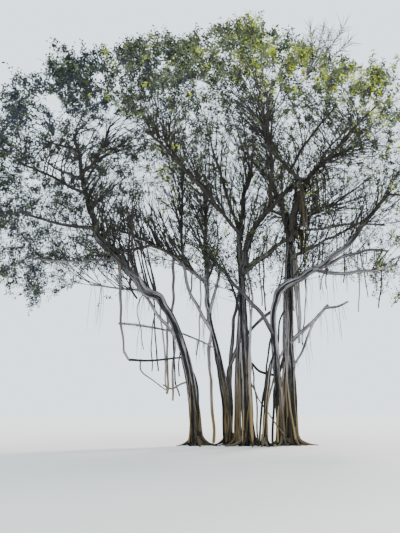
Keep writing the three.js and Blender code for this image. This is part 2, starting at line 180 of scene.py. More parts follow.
def drift(seed, along, size):
    """A smooth wander from about -1 to 1, its bends about `size` metres long."""
    phases = np.random.default_rng(seed).uniform(0, 2 * math.pi, 3)
    waves = [np.sin(along / size * (1 + 0.73 * k) + phases[k]) / (1 + k) for k in range(3)]
    return sum(waves) / 1.6


def knobs(seed, angle, along, size):
    """Lumps of bark from about -1 to 1, all the way round and along a limb."""
    dice = np.random.default_rng(seed)
    total = 0
    for k in range(1, 7):
        around = dice.integers(1, 4 + k)
        phase = dice.uniform(0, 2 * math.pi)
        rate = dice.uniform(-1, 1) * (1 + 0.5 * k) / size
        total = total + np.sin(around * angle + rate * along + phase) / k ** 0.5
    return total / 2.5


def frames_of(middles, foot_level=False):
    """Two directions across the line at each of its points, carried along without twist."""
    along = np.gradient(middles, axis=0)
    along /= norm(along, axis=1)[:, None]
    if foot_level:
        along[0] = (0, 0, 1)
    across = np.empty_like(middles)
    side = np.array([1.0, 0.0, 0.0]) if abs(along[0][0]) < 0.9 else np.array([0.0, 1.0, 0.0])
    for i, ahead in enumerate(along):
        side = side - ahead * side.dot(ahead)
        side /= norm(side)
        across[i] = side
    return across, np.cross(along, across)


def new_bark_mesh():
    mesh = bmesh.new()
    mesh.verts.layers.float_vector.new("grain")
    mesh.verts.layers.float.new("groove_shade")
    mesh.verts.layers.float.new("strand")
    return mesh


def add_limb(mesh, middles, reach, groove_shade=None, strand=None, foot_level=False):
    """Bends a grid round the line of a limb. `reach` is how far the bark stands from the
    line, ring by ring, and the grain is the bark's own place on the limb made straight.
    `strand` is how pale each strand of the bark is, from 0 to 1."""
    rings, sides = reach.shape
    across, up = frames_of(middles, foot_level)
    steps = norm(np.diff(middles, axis=0), axis=1)
    distance = np.concatenate([[0], np.cumsum(steps)])
    grid = bmesh.ops.create_grid(mesh, x_segments=sides, y_segments=rings - 1, size=1)["verts"]
    grain = mesh.verts.layers.float_vector["grain"]
    grooves = mesh.verts.layers.float["groove_shade"]
    strands = mesh.verts.layers.float["strand"]
    paleness = 0.5 if strand is None else strand
    seam = []
    for vert in grid:
        column = round((vert.co.x + 1) / 2 * sides)
        ring = round((vert.co.y + 1) / 2 * (rings - 1))
        angle = 2 * math.pi * column / sides
        out = reach[ring, column % sides]
        x, y = math.cos(angle), math.sin(angle)
        place = middles[ring] + (across[ring] * x + up[ring] * y) * out
        vert.co = (place[0], place[1], max(place[2], 0.0))
        vert[grain] = (x * out, y * out, distance[ring])
        if groove_shade is not None:
            vert[grooves] = groove_shade[ring, column % sides]
        vert[strands] = paleness if np.isscalar(paleness) else paleness[ring, column % sides]
        if column in (0, sides):
            seam.append(vert)
    bmesh.ops.remove_doubles(mesh, verts=seam, dist=1e-6)


def new_object(name, data):
    thing = bpy.data.objects.new(name, data)
    bpy.context.scene.collection.objects.link(thing)
    return thing


def add_piece(name, data, material, nodes):
    data.materials.append(material)
    piece = new_object(name, data)
    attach(piece, "root")
    if nodes:
        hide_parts(*nodes)


def finish_bark(name, mesh, material, nodes=()):
    """Closes the ends of the limbs and turns the mesh into a piece."""
    bmesh.ops.holes_fill(mesh, edges=[e for e in mesh.edges if e.is_boundary], sides=0)
    bmesh.ops.recalc_face_normals(mesh, faces=mesh.faces)
    for face in mesh.faces:
        face.smooth = len(face.verts) == 4
    data = bpy.data.meshes.new(name)
    mesh.to_mesh(data)
    mesh.free()
    add_piece(name, data, material, nodes)


def linear(hex_colour):
    """An sRGB hex colour in linear light."""
    parts = [int(hex_colour[i:i + 2], 16) / 255 for i in (1, 3, 5)]
    return (*(c / 12.92 if c <= 0.04045 else ((c + 0.055) / 1.055) ** 2.4 for c in parts), 1)


def add_node(tree, kind, inputs, **settings):
    """A node with its settings, and its inputs as values or as the sockets that feed them."""
    new = tree.nodes.new("ShaderNode" + kind)
    for setting, value in settings.items():
        setattr(new, setting, value)
    for socket, value in inputs.items():
        if isinstance(value, bpy.types.NodeSocket):
            tree.links.new(value, new.inputs[socket])
        else:
            new.inputs[socket].default_value = value
    return new


def new_material(name, colour, roughness, index=1.5):
    """A finish of one colour, with its nodes and its shader."""
    material = bpy.data.materials.new(name)
    material.use_nodes = True
    tree = material.node_tree
    shader = tree.nodes["Principled BSDF"]
    shader.inputs["Base Color"].default_value = linear(colour)
    shader.inputs["Roughness"].default_value = roughness
    shader.inputs["IOR"].default_value = index
    return material, tree, shader


def bark_material(name, foot, middle, aloft, lichen, crevice_shade):
    """Fig bark: thin and dry, in long strands. The streaks follow each strand, blotches of
    lichen lie over them, and the grooves between the strands are darkened with painted shade.
    The dark and the light colour change from the foot to the middle height and again aloft:
    darker at the foot and aloft as painted shade under and inside the crown, and paler in
    between as painted light. The tan of the pale strands at the foot is partly their own colour
    and partly painted highlight."""
    material, tree, shader = new_material(name, middle[0], 0.86)
    grain, groove_shade, strand = (add_node(tree, "Attribute", {}, attribute_name=mark)
                             for mark in ("grain", "groove_shade", "strand"))
    place = add_node(tree, "TexCoord", {})
    height = add_node(tree, "SeparateXYZ", {"Vector": place.outputs["Object"]})
    # Strands 40 to 80 mm wide and a metre or more long
    strands = add_node(tree, "Mapping", {
        "Vector": grain.outputs["Vector"], "Scale": (13, 13, 0.8)})
    streaks = add_node(tree, "TexNoise", {
        "Vector": strands.outputs["Vector"], "Scale": 1.0, "Detail": 4, "Roughness": 0.6})
    # Cracks and pores of 5 to 15 mm, across as much as along
    fine = add_node(tree, "TexNoise", {
        "Vector": grain.outputs["Vector"], "Scale": 55.0, "Detail": 3, "Roughness": 0.65})
    # Lichen in blotches of about half a metre
    blotches = add_node(tree, "TexNoise", {
        "Vector": place.outputs["Object"], "Scale": 1.7, "Detail": 5, "Roughness": 0.62})
    pale = add_node(tree, "Math", {
        0: strand.outputs["Fac"], 1: 0.6, 2: streaks.outputs["Fac"]}, operation="MULTIPLY_ADD")
    streak = add_node(tree, "MapRange", {
        "Value": pale.outputs["Value"], "From Min": 0.66, "From Max": 1.0})
    # Painted shade darkens the bark at the foot and aloft, under and inside the crown, and the
    # middle height is paler as painted light
    above_foot = add_node(tree, "MapRange", {
        "Value": height.outputs["Z"], "From Min": 1.5, "From Max": 5.0})
    aloft_part = add_node(tree, "MapRange", {
        "Value": height.outputs["Z"], "From Min": 8.5, "From Max": 12.5})
    # A mix of colours takes them at its inputs 6 and 7 and gives the result at its output 2
    tones = []
    for k in range(2):
        lower = add_node(tree, "Mix", {
            "Factor": above_foot.outputs["Result"], 6: linear(foot[k]), 7: linear(middle[k])},
            data_type="RGBA")
        tones.append(add_node(tree, "Mix", {
            "Factor": aloft_part.outputs["Result"], 6: lower.outputs[2], 7: linear(aloft[k])},
            data_type="RGBA"))
    base = add_node(tree, "Mix", {
        "Factor": streak.outputs["Result"], 6: tones[0].outputs[2], 7: tones[1].outputs[2]},
        data_type="RGBA")
    patch = add_node(tree, "MapRange", {
        "Value": blotches.outputs["Fac"], "From Min": 0.54, "From Max": 0.72, "To Max": 0.5})
    spotted = add_node(tree, "Mix", {
        "Factor": patch.outputs["Result"], 6: base.outputs[2], 7: linear(lichen)},
        data_type="RGBA")
    # Painted shade darkens the grooves between the strands
    coloured = add_node(tree, "Mix", {
        "Factor": groove_shade.outputs["Fac"], 6: spotted.outputs[2], 7: linear(crevice_shade)},
        data_type="RGBA")
    tree.links.new(coloured.outputs[2], shader.inputs["Base Color"])
    coarse = add_node(tree, "Bump", {
        "Height": streaks.outputs["Fac"], "Strength": 0.6, "Distance": 0.03})
    rough = add_node(tree, "Bump", {
        "Height": fine.outputs["Fac"], "Strength": 0.5, "Distance": 0.008,
        "Normal": coarse.outputs["Normal"]})
    tree.links.new(rough.outputs["Normal"], shader.inputs["Normal"])
    shader.inputs["Specular IOR Level"].default_value = 0.3
    return material


# Colours at the foot, the middle height and aloft, dark then light: painted shade at the foot and
# aloft and painted light between; then lichen, and the painted shade of the grooves
fig_bark = bark_material(
    "stranded_fig_bark", ("#0c0a08", "#5a4c39"), ("#181618", "#b6b1b6"), ("#131110", "#544e48"),
    "#50544a", "#0a0908")
shaded_bark = bark_material(
    "shaded_fig_bark", ("#0c0a08", "#6b5b43"), ("#121012", "#6f6a6d"), ("#121010", "#57524e"),
    "#3d4238", "#0a0908")
IN_SHADE = {"link_limb", "diagonal_limb", "dark_pillar", "trunk_right_limb"}

# Metres, and shares of a stem's radius
FLARE = 0.55
FLARE_HEIGHT = 0.62
RIB = 0.09
RIB_AT_FOOT = 0.16
RIB_TWIST = 2.6
WIDE_STEM = 0.45
STOUT = 0.2
SUNK_BACK = 0.7
COLLAR = 0.35
BARK_ON_BOUGHS = 1.2
BARK_ON_STOUT_BOUGHS = {
    "right_bough": 1.4, "right_outer_bough": 1.45, "right_low_limb": 1.7, "left_bough": 1.35}
RING_EVERY = 0.1
JOINT_REACH = 1.7
RINGS_TO_SMOOTH_LINE, RINGS_TO_SMOOTH_WIDTH = 13, 5
# Between the strands the bark stands back to this share of the radius, and is darker there with
# painted shade
BETWEEN_STRANDS, PALENESS_BETWEEN = 0.76, 0.2
STRAND_GIRTHS = (0.22, 0.42)
STRAND_OUTSIDES = (0.98, 1.1)
STRAND_TWIST = 0.12
STRAND_PALENESS = (0.02, 0.9, 0.25, 0.5)
STRANDS_ON_WIDE_STEM, STRANDS_ON_STEM = 11, 8
RIBS_ON_WIDE_STEM, RIBS_ON_STEM = 4, 3
STRANDS_FADE_OVER, STRANDS_FADE_TO = 2.5, 0.35
GROOVES_FROM, GROOVE_DEPTH = 0.99, 0.2
BEND, BEND_LENGTH, STRAIGHT_END = 0.7, 0.55, 0.6
LUMP, LUMP_LENGTH = 0.05, 0.4
SIDES_OF_STEM, SIDES_OF_STOUT_BOUGH, SIDES_OF_BOUGH, SIDES_OF_THIN_LIMB = 56, 22, 14, 9


def stem_swell(height, angle, ribs):
    low = np.exp(-height / FLARE_HEIGHT)
    rib = (RIB + (RIB_AT_FOOT - RIB) * low) * np.cos(ribs * angle + height / RIB_TWIST)
    return (1 + FLARE * low) * (1 + rib)


def strand_reach(seed, height, angle, count):
    """The outline of a bundle of round strands, as a share of the stem's radius, and how
    pale each is. They wind slowly round the stem, and swell and thin on their way."""
    dice = np.random.default_rng(seed)
    reach = np.full((len(height), len(angle)), BETWEEN_STRANDS)
    paleness = np.full(reach.shape, PALENESS_BETWEEN)
    twist = dice.uniform(-STRAND_TWIST, STRAND_TWIST)
    tones = dice.permutation(np.resize(STRAND_PALENESS, count))
    for k in range(count):
        girth = dice.uniform(*STRAND_GIRTHS) * (1 + 0.18 * drift(seed * 31 + k, height, 0.9))
        sway = 0.2 * drift(seed * 57 + k, height, 1.6)
        centre = 2 * math.pi * (k + dice.uniform(-0.3, 0.3)) / count + twist * height + sway
        out = dice.uniform(*STRAND_OUTSIDES) - girth
        turn = angle[None, :] - centre[:, None]
        aside = out[:, None] * np.sin(turn)
        depth = girth[:, None] ** 2 - aside ** 2
        round_side = out[:, None] * np.cos(turn) + np.sqrt(np.maximum(depth, 0))
        outermost = (depth > 0) & (np.cos(turn) > 0) & (round_side > reach)
        reach = np.where(outermost, round_side, reach)
        paleness = np.where(outermost, tones[k], paleness)
    return reach, paleness


def rounded(values, rings):
    """Values along a limb, smoothed over some rings each way."""
    weights = np.exp(-(np.arange(-2 * rings, 2 * rings + 1) / rings) ** 2)
    weights /= weights.sum()
    ends = [end.repeat(2 * rings, 0) for end in (values[:1], values[-1:])]
    padded = np.concatenate([ends[0], values, ends[1]])
    columns = padded.reshape(len(padded), -1)
    smooth = np.stack([np.convolve(c, weights, "valid") for c in columns.T], axis=1)
    return smooth.reshape(values.shape)


def joined_line(names):
    """One line through limbs that grew on from each other, bent smoothly where they join,
    with the width and the distance from the start at each ring."""
    points, widths, joints = [], [], []
    for name in names:
        form = limbs[name]
        shares = np.linspace(0, 1, max(6, round(form["length"] / RING_EVERY)) + 1)
        first = 1 if points else 0
        points.append(along_line(form["line"], shares)[first:])
        gain = 1 if form["kind"] == "stem" else BARK_ON_STOUT_BOUGHS.get(name, BARK_ON_BOUGHS)
        widths.append(gain * np.interp(shares, (0, 1), form["width"])[first:])
        joints.append(sum(len(part) for part in points) - 1)
    line, width = np.concatenate(points), np.concatenate(widths)
    distance = np.concatenate([[0], np.cumsum(norm(np.diff(line, axis=0), axis=1))])
    near = np.zeros(len(line))
    for joint in joints[:-1]:
        near = np.maximum(near, np.exp(-((distance - distance[joint]) / JOINT_REACH) ** 2))
    near *= np.clip(np.minimum(distance, distance[-1] - distance), 0, 1)
    line = line + (rounded(line, RINGS_TO_SMOOTH_LINE) - line) * near[:, None]
    return line, width + (rounded(width, RINGS_TO_SMOOTH_WIDTH) - width) * near, distance


def bark_form(seed, names, sides):
    """The line of one or more limbs, how far their bark stands from it, the painted shade in its
    grooves, and how pale its strands are."""
    form = limbs[names[0]]
    is_stem = form["kind"] == "stem"
    middles, width, distance = joined_line(names)
    radius = width / 2
    length = distance[-1]
    stem_length = form["length"] if is_stem else 0
    ease = np.clip(np.minimum(distance - stem_length, length - distance) / STRAIGHT_END, 0, 1)
    for k, side in enumerate(frames_of(middles, is_stem)):
        bend = BEND * radius * ease * drift(1000 + 2 * seed + k, distance, BEND_LENGTH)
        middles = middles + side * bend[:, None]
    angle = np.linspace(0, 2 * math.pi, sides, endpoint=False)[None, :]
    lumps = 1 + LUMP * knobs(1300 + seed, angle, distance[:, None], LUMP_LENGTH)
    if not is_stem:
        start = middles[1] - middles[0]
        middles[0] -= start / norm(start) * radius[0] * SUNK_BACK
        collar = 1 + COLLAR * np.exp(-distance / (1.8 * radius[0]))
        return middles, (radius * collar)[:, None] * lumps, None, None
    wide = form["width"][0] > WIDE_STEM
    strands = STRANDS_ON_WIDE_STEM if wide else STRANDS_ON_STEM
    bundle, paleness = strand_reach(11 + seed, distance, angle[0], strands)
    fade = 1 - (distance - stem_length) / STRANDS_FADE_OVER
    fade = np.clip(fade, STRANDS_FADE_TO, 1)[:, None]
    ribs = RIBS_ON_WIDE_STEM if wide else RIBS_ON_STEM
    swell = stem_swell(distance[:, None], angle, ribs) ** fade
    reach = radius[:, None] * swell * bundle ** fade * lumps
    # Painted shade in the grooves, the darker the deeper the bark sinks between the strands
    groove_shade = np.clip((GROOVES_FROM - bundle) / GROOVE_DEPTH, 0, 1) ** 1.4 * fade
    return middles, reach, groove_shade, 0.5 + (paleness - 0.5) * fade


# Limbs that grew on from each other share one skin of bark
GROWN_ON = (
    ("main_trunk", "trunk_left_limb"),
    ("right_trunk", "right_fork_left"),
    ("left_stem", "left_bough", "left_upright_limb"),
    ("inner_right_pillar", "right_bough", "right_outer_bough"),
    ("inner_left_stem", "inner_left_limb"),
    ("right_fork_right", "upper_right_arm"),
)
later = {name for names in GROWN_ON for name in names[1:]}
bark_forms = {}
for number, name in enumerate(limbs):
    if name not in later:
        names = next((row for row in GROWN_ON if row[0] == name), (name,))
        is_stem = limbs[name]["kind"] == "stem"
        sides = SIDES_OF_STOUT_BOUGH if limbs[name]["width"][0] > STOUT else SIDES_OF_BOUGH
        form = bark_form(number, names, SIDES_OF_STEM if is_stem else sides)
        bark_forms[name] = form[:2]
        mesh = new_bark_mesh()
        add_limb(mesh, *form, foot_level=is_stem)
        finish_bark(name + "_bark", mesh, shaded_bark if name in IN_SHADE else fig_bark, names)


# Roots at the feet
# Each stem stands on its own spread of surface roots, which leave it at knee height, run out
# over the ground and dive into it. They are the same wood and bark as the stem.

ROOTS_ROUND_FOOT = 9
# Shares of the stem's width and a little more
FOOT_ROOT_TOPS = (0.35, 0.9)
FOOT_ROOT_SPREADS = (0.5, 1.5)
FOOT_ROOT_RADII = (0.09, 0.15)
FOOT_ROOT_RINGS, FOOT_ROOT_SIDES = 14, 10
foot_dice = np.random.default_rng(401)
mesh = new_bark_mesh()
for name, form in limbs.items():
    if form["kind"] == "stem":
        girth = form["width"][0]
        for k in range(ROOTS_ROUND_FOOT):
            bearing = 2 * math.pi * (k + foot_dice.uniform(-0.35, 0.35)) / ROOTS_ROUND_FOOT
            top = foot_dice.uniform(*FOOT_ROOT_TOPS) * (0.4 + girth)
            spread = foot_dice.uniform(*FOOT_ROOT_SPREADS) * (0.3 + girth)
            thick = foot_dice.uniform(*FOOT_ROOT_RADII) * (0.3 + girth)
            t = np.linspace(0, 1, FOOT_ROOT_RINGS)
            flare = girth / 2 * (1 + FLARE * np.exp(-top * (1 - t) / FLARE_HEIGHT))
            out = flare * 0.8 + spread * t ** 2.2
            turn = bearing + 0.35 * drift(500 + k, t * spread, 0.5) * t
            radius = thick * (1 - 0.75 * t ** 1.5)
            low = np.maximum(top * (1 - t) ** 1.6, radius * 0.35)
            root = np.stack([out * np.cos(turn), out * np.sin(turn), low], axis=1)
            root += form["line"][0]
            angle = np.linspace(0, 2 * math.pi, FOOT_ROOT_SIDES, endpoint=False)
            lumps = 1 + 0.12 * knobs(900 + k, angle[None, :], t[:, None] * spread, 0.3)
            add_limb(mesh, root, radius[:, None] * lumps, strand=foot_dice.uniform())
finish_bark("roots_at_the_feet", mesh, fig_bark)


# Thin limbs
# Between the boughs grow thinner limbs, some of them grown on to a neighbour as props and
# links. They are living wood under the same bark, apart from two bare dead ones.

def thin_limb(name, carrier, *form):
    limb("thin", name, point_along(*carrier), *form)


thin_limb("prop_limb", ("upper_left_bough", 0.24), 4.7, (-18, 14), (-79, 21), (0.152, 0.188))
thin_limb("fork_limb", ("inner_left_stem", 0.97), 2.9, (-38, -21), (75, -12), (0.176, 0.128))
thin_limb("slender_link", ("left_stem", 0.78), 2.1, (14, 9), (-17, -26), (0.092, 0.08))
thin_limb("dead_limb", ("under_left_limb", 0.19), 3, (-171, -1), (13, -12), (0.092, 0.116))
thin_limb("outer_thin_limb", ("under_left_limb", 0.74), 2.85, (-160, 2), (-3, 7), (0.104, 0.068))
thin_limb("left_high_arm", ("left_upright_limb", 0.58), 3.3, (-20, -21), (34, 42), (0.164, 0.08))
thin_limb("left_fine_arm", ("left_upright_limb", 0.83), 2.3, (-162, 11), (1, 11), (0.128, 0.068))
thin_limb("left_back_arm", ("upper_left_bough", 0.54), 3.8, (170, 0), (-6, -6), (0.14, 0.08))
thin_limb("low_right_limb", ("right_bough", 0.79), 4.7, (-2, 0), (-13, 33), (0.2, 0.104))
thin_limb("sagging_limb", ("right_trunk", 1), 5.4, (-35, 8), (7, -25), (0.164, 0.08))
thin_limb("behind_right_limb", ("right_trunk", 0.88), 6.9, (21, -5), (29, 1), (0.188, 0.092))
thin_limb("rear_thin_limb", ("right_rear_limb", 0.84), 3.15, (18, -5), (0, 7), (0.104, 0.068))
thin_limb("outer_right_limb", ("right_rear_limb", 0.97), 3.6, (-10, -1), (36, -2), (0.128, 0.068))
thin_limb("broken_branch", ("broken_bough", 0.93), 1.25, (-23, -3), (-2, 25), (0.128, 0.08))
thin_limb("side_prop", ("broken_bough", 0.64), 3.1, (136, 4), (-67, 5), (0.116, 0.104))
thin_limb("high_right_limb", ("upper_left_arm", 0.3), 4.4, (-49, -1), (48, -24), (0.152, 0.068))
thin_limb("fan_limb", ("upper_right_arm", 0.35), 3.1, (-37, -4), (62, -43), (0.14, 0.068))
thin_limb("centre_limb", ("trunk_left_limb", 0.38), 7.6, (-161, 15), (71, 3), (0.164, 0.08))
meets("prop_limb", "inner_left_stem", 0.86)
meets("fork_limb", "diagonal_limb", 0.7)
meets("slender_link", "inner_left_stem", 0.72)
meets("side_prop", "right_trunk", 0.31)

mesh = new_bark_mesh()
for number, (name, form) in enumerate(limbs.items()):
    if form["kind"] == "thin":
        add_limb(mesh, *bark_form(number, (name,), SIDES_OF_THIN_LIMB)[:2])
finish_bark("thin_limbs_bark", mesh, fig_bark)


# Hanging roots
# Roots grow down through the air from the boughs, bare, brown and as thick as an arm or as
# thin as a cord. Some have reached a stem or the ground and fused, and some end in the air.

def hanging_root(name, carrier, *form):
    limb("root", name, point_along(*carrier), *form)


hanging_root(
    "left_hanging_root", ("left_bough", 0.6), 5.2, (-20, 40), (-86, 4), (0.17, 0.09))
hanging_root(
    "middle_hanging_root", ("upper_left_bough", 0.33), 4.2, (-76, 2), (-78, 4), (0.15, 0.13))
meets("middle_hanging_root", "left_stem", 0.91)
hanging_root(
    "right_hanging_root", ("right_low_limb", 0.55), 2.7, (-30, 30), (-88, 0), (0.07, 0.04))

SIDES_OF_HANGING_ROOT = 12
# The same painted shade at the foot and aloft and painted light between as on the stems
root_bark = bark_material(
    "hanging_root_bark", ("#13100d", "#8b7650"), ("#2c292c", "#948c8a"), ("#1c1916", "#5a5045"),
    "#50533d", "#0f0d0b")
for number, (name, form) in enumerate(limbs.items()):
    if form["kind"] == "root":
        mesh = new_bark_mesh()
        add_limb(mesh, *bark_form(number, (name,), SIDES_OF_HANGING_ROOT)[:2])
        finish_bark(name + "_bark", mesh, root_bark, (name,))

root_dice = np.random.default_rng(1607)


def add_root(mesh, points, width, sides=8, every=0.12, wobble=0.045, pale=None):
    """A root through a few points, wandering a little, with swellings along it."""
    line = np.array(points, float)
    length = norm(np.diff(line, axis=0), axis=1).sum()
    shares = np.linspace(0, 1, max(5, round(length / every)) + 1)
    middles = along_line(line, shares)
    seed = int(root_dice.integers(1, 99999))
    ease = np.clip(shares * 4, 0, 1)
    for k in range(2):
        middles[:, k] += wobble * ease * drift(seed + k, shares * length, 0.45)
    radius = np.interp(shares, (0, 1), width) / 2
    angle = np.linspace(0, 2 * math.pi, sides, endpoint=False)[None, :]
    lumps = 1 + 0.14 * knobs(seed, angle, shares[:, None] * length, 0.35)
    strand = root_dice.uniform() if pale is None else pale
    add_limb(mesh, middles, radius[:, None] * lumps, strand=strand)


# Each root's limb and its place on it, how far back from there it lies at each bend, or at its
# end when that is one number and it goes there evenly, how far aside and how far up each bend
# lies, its width at both ends, and for some how pale they are. Below 0 is to the front, to the
# left and down.
AERIAL_ROOTS = (
    ("under_left_limb", 0.48, 0, (-0.12, -1.74, -0.06, -3.43), (0.07, 0.065)),
    ("left_bough", 0.16, 0, (0.18, -2.09, 0.39, -4.33), (0.093, 0.082)),
    ("left_bough", 0.08, 0, (0.19, -1.78, 0.41, -3.56, 0.5, -5.15), (0.111, 0.087)),
    ("left_bough", 0, 0, (0.11, -2.32, 0.16, -4.97), (0.145, 0.122)),
    ("left_stem", 0.82, 0, (-0.07, -1.07, -0.1, -2.01, -0.09, -4.03), (0.145, 0.122)),
    ("left_stem", 0.87, -0.3, (0.09, -2.57, 0.4, -4.16), (0.099, 0.082)),
    ("left_stem", 0.73, 0, (0, -1.12, -0.01, -2.1), (0.082, 0.07)),
    ("under_left_limb", 0.69, 0, (-0.3, -1.07, -0.03, -2.09, 0.18, -3.2), (0.07, 0.053)),
    ("left_bough", 0.45, 0, (0.05, -0.91, 0.42, -1.49), (0.134, 0.122)),
    ("left_stem", 0.42, -0.5, (-0.45, -0.16, -0.98, -0.43, -1.45, -0.23), (0.111, 0.087)),
    ("upper_left_bough", 0.07, -0.2, (0.03, -1.45, -0.03, -2.96, -0.2, -4.7), (0.099, 0.087)),
    ("upper_left_bough", 0.15, 0, (-0.02, -0.92, -0.07, -1.86), (0.087, 0.076)),
    ("main_trunk", 0.62, (-0.2, -0.36, -0.45), (-0.19, 0.97, -0.6, 2.2, -0.9, 3.02), (0.15, 0.11)),
    ("inner_right_pillar", 0.92, (0.08, 0.33, 0.52),
     (-0.58, -0.45, -1.12, -0.92, -1.5, -1.3), (0.18, 0.16)),
    ("inner_right_pillar", 0.46, 0, (-0.93, 0.23, -1.41, 0.66), (0.145, 0.134)),
    ("main_trunk", 0.38, -0.4, (0.41, -0.94, 0.79, -1.65, 1.87, -3.22), (0.087, 0.065)),
    ("right_trunk", 0.47, -0.4, (-0.74, -1.58, -1.23, -3.01, -1.63, -5.31), (0.122, 0.099)),
    ("right_trunk", 0.44, -0.5, (-0.5, -1.13, -0.94, -2.52, -1.27, -5.05), (0.134, 0.122)),
    ("right_trunk", 0.41, -0.6, (-0.4, -1.11, -0.73, -2.38, -1.01, -4.7), (0.111, 0.099)),
    ("inner_right_pillar", 0.64, -0.3, (-0.48, -1.21, -0.76, -2.25, -1.15, -4.74), (0.122, 0.111)),
    ("inner_right_pillar", 0.78, -0.3, (-0.39, -1.23, -0.59, -2.71, -0.95, -5.71), (0.111, 0.099)),
    ("right_trunk", 0.44, 0, (0.25, -0.78, 0.21, -2.13, 0.08, -5.09), (0.168, 0.191)),
    ("right_trunk", 0.66, -0.5, (-0.59, -1.33, -0.8, -2.38, -1, -3.5), (0.111, 0.099)),
    ("right_trunk", 0.76, -0.5, (-0.84, -1.25, -1.06, -3.04), (0.099, 0.099)),
    ("link_limb", 0.44, -0.3, (0.01, -2.08, -0.04, -3.35), (0.099, 0.087)),
    ("behind_right_limb", 0.17, -0.4, (-0.07, -2.49, -0.46, -4.9, -0.62, -5.77), (0.07, 0.059)),
    ("dark_pillar", 0.61, 0.3, (0, -1.3, -0.01, -2.89, -0.01, -5.07), (0.214, 0.237)),
    ("dark_pillar", 0.62, -0.2, (-0.54, -1.35, -0.58, -2.93, -0.68, -5.07), (0.191, 0.191)),
    ("inner_left_stem", 0.8, -0.3, (0.24, -1.18, 0.49, -2.56, 0.8, -5.53), (0.145, 0.134)),
    ("inner_left_stem", 0.84, -0.4, (0.14, -1.58, 0.39, -3.11, 0.5, -5.81), (0.111, 0.099)),
    ("inner_left_stem", 0.89, 0.3, (-0.16, -1.76, -0.01, -3.67, 0.08, -6.17), (0.191, 0.168)),
    ("main_trunk", 0.68, -0.3, (0.2, -1.42, 0.24, -3.04, 0.15, -6.44), (0.122, 0.122)),
    ("main_trunk", 0.8, -0.3, (0.07, -1.75, -0.07, -3.95, -0.25, -7.62), (0.111, 0.099)),
    ("main_trunk", 0.59, -0.3, (0.41, -2.03, 0.5, -3.48, 0.5, -5.59), (0.099, 0.087)),
    ("left_stem", 0.58, -0.3, (0.58, -1.2, 0.69, -2.75, 0.75, -4.37), (0.111, 0.111)),
    ("left_stem", 0.62, -0.3, (0.33, -1.48, 0.35, -3.03, 0.31, -4.65), (0.099, 0.099)),
    ("right_low_limb", 0.29, 0, (-0.06, -0.67, -0.21, -1.55), (0.087, 0.065)),
    ("right_low_limb", 0.51, 0, (-0.18, -1.96, -0.36, -3.48), (0.076, 0.065)),
    ("right_low_limb", 0.77, 0, (-0.07, -1.33, -0.21, -2.45), (0.065, 0.053)),
    ("low_right_limb", 0.79, 0, (-0.17, -1.22, -0.41, -2.23), (0.087, 0.065)),
    ("right_outer_bough", 0, 0, (-0.48, -0.81, -0.59, -1.38), (0.065, 0.053)),
    ("right_outer_bough", 0, 0, (-0.21, -0.81, -0.28, -1.33), (0.065, 0.053)),
    ("behind_right_limb", 0.3, -0.3, (-0.2, -0.94, -0.36, -1.69), (0.087, 0.07)),
    ("behind_right_limb", 0.38, -0.2, (-0.18, -0.89, -0.41, -1.84), (0.099, 0.076)),
    ("behind_right_limb", 0.42, -0.3, (-0.13, -0.75, -0.31, -1.53), (0.076, 0.065)),
    ("right_low_limb", 0.59, 0, (-0.06, -0.43, -0.1, -0.79), (0.065, 0.053)),
    ("right_low_limb", 0.65, 0, (-0.02, -0.4, -0.09, -0.7), (0.065, 0.053)),
    ("link_limb", 0.38, -0.4, (-0.01, -1.94, -0.02, -2.93), (0.087, 0.076)),
    ("main_trunk", 0.93, (0.5, 0.9, 1, 1.1),
     (-0.25, -1.2, -0.52, -2.9, -0.72, -5.5, -0.8, -9.1), (0.12, 0.3)),
    ("link_limb", 0.12, (-0.25, -0.35, -0.38, -0.42, -0.4, -0.42),
     (0.18, -1.2, 0.1, -3, -0.07, -4.7, -0.1, -6.6, -0.12, -8.4, -0.1, -9.6), (0.11, 0.17), 0.95),
    ("link_limb", 0.06, (-0.12, -0.32, -0.36, -0.42, -0.38),
     (0.26, -1.6, 0.16, -3.4, 0.05, -5.1, -0.02, -6.4, 0.06, -7.6), (0.08, 0.09), 0.8),
    # Pale roots clothe the right trunk's upper part, and hang in a curtain under its right fork
    ("right_trunk", 0.97, (-0.22, -0.28, -0.31, -0.3),
     (0.13, -1, 0.15, -2.6, 0.11, -4.6, 0.03, -6.2), (0.17, 0.14), 1),
    ("right_trunk", 0.97, (-0.27, -0.33, -0.35),
     (0, -1.2, 0.02, -3, -0.03, -5.4), (0.14, 0.11), 0.85),
    ("right_trunk", 0.97, (-0.1, -0.16, -0.2, -0.24),
     (0.23, -0.8, 0.27, -2.2, 0.25, -4, 0.1, -5.6), (0.15, 0.12), 0.95),
    ("right_trunk", 0.97, (-0.22, -0.3, -0.33),
     (-0.12, -1, -0.16, -2.8, -0.15, -4.4), (0.11, 0.09), 0.5),
    ("right_fork_right", 0.72, (-0.2, -0.3), (0.05, -1, 0.1, -2.4), (0.07, 0.06), 1),
    ("right_fork_right", 0.8, (-0.25, -0.35), (0, -1.2, -0.05, -2.8), (0.08, 0.06), 0.8),
    ("right_fork_right", 0.88, (-0.3, -0.4), (-0.05, -1.3, 0, -3), (0.07, 0.05), 1),
    ("right_fork_right", 0.96, (-0.3, -0.45), (0.05, -1.4, 0, -3.2), (0.07, 0.05), 0.9),
)
mesh = new_bark_mesh()
for name, share, backs, places, width, *pale in AERIAL_ROOTS:
    top = point_along(name, share)
    asides, ups = places[::2], places[1::2]
    if np.isscalar(backs):
        backs = [round(backs * (k + 1) / len(ups), 2) for k in range(len(ups))]
    bends = np.stack([asides, backs, ups], axis=1)
    add_root(mesh, [top, *(top + bends)], width, pale=pale[0] if pale else None)

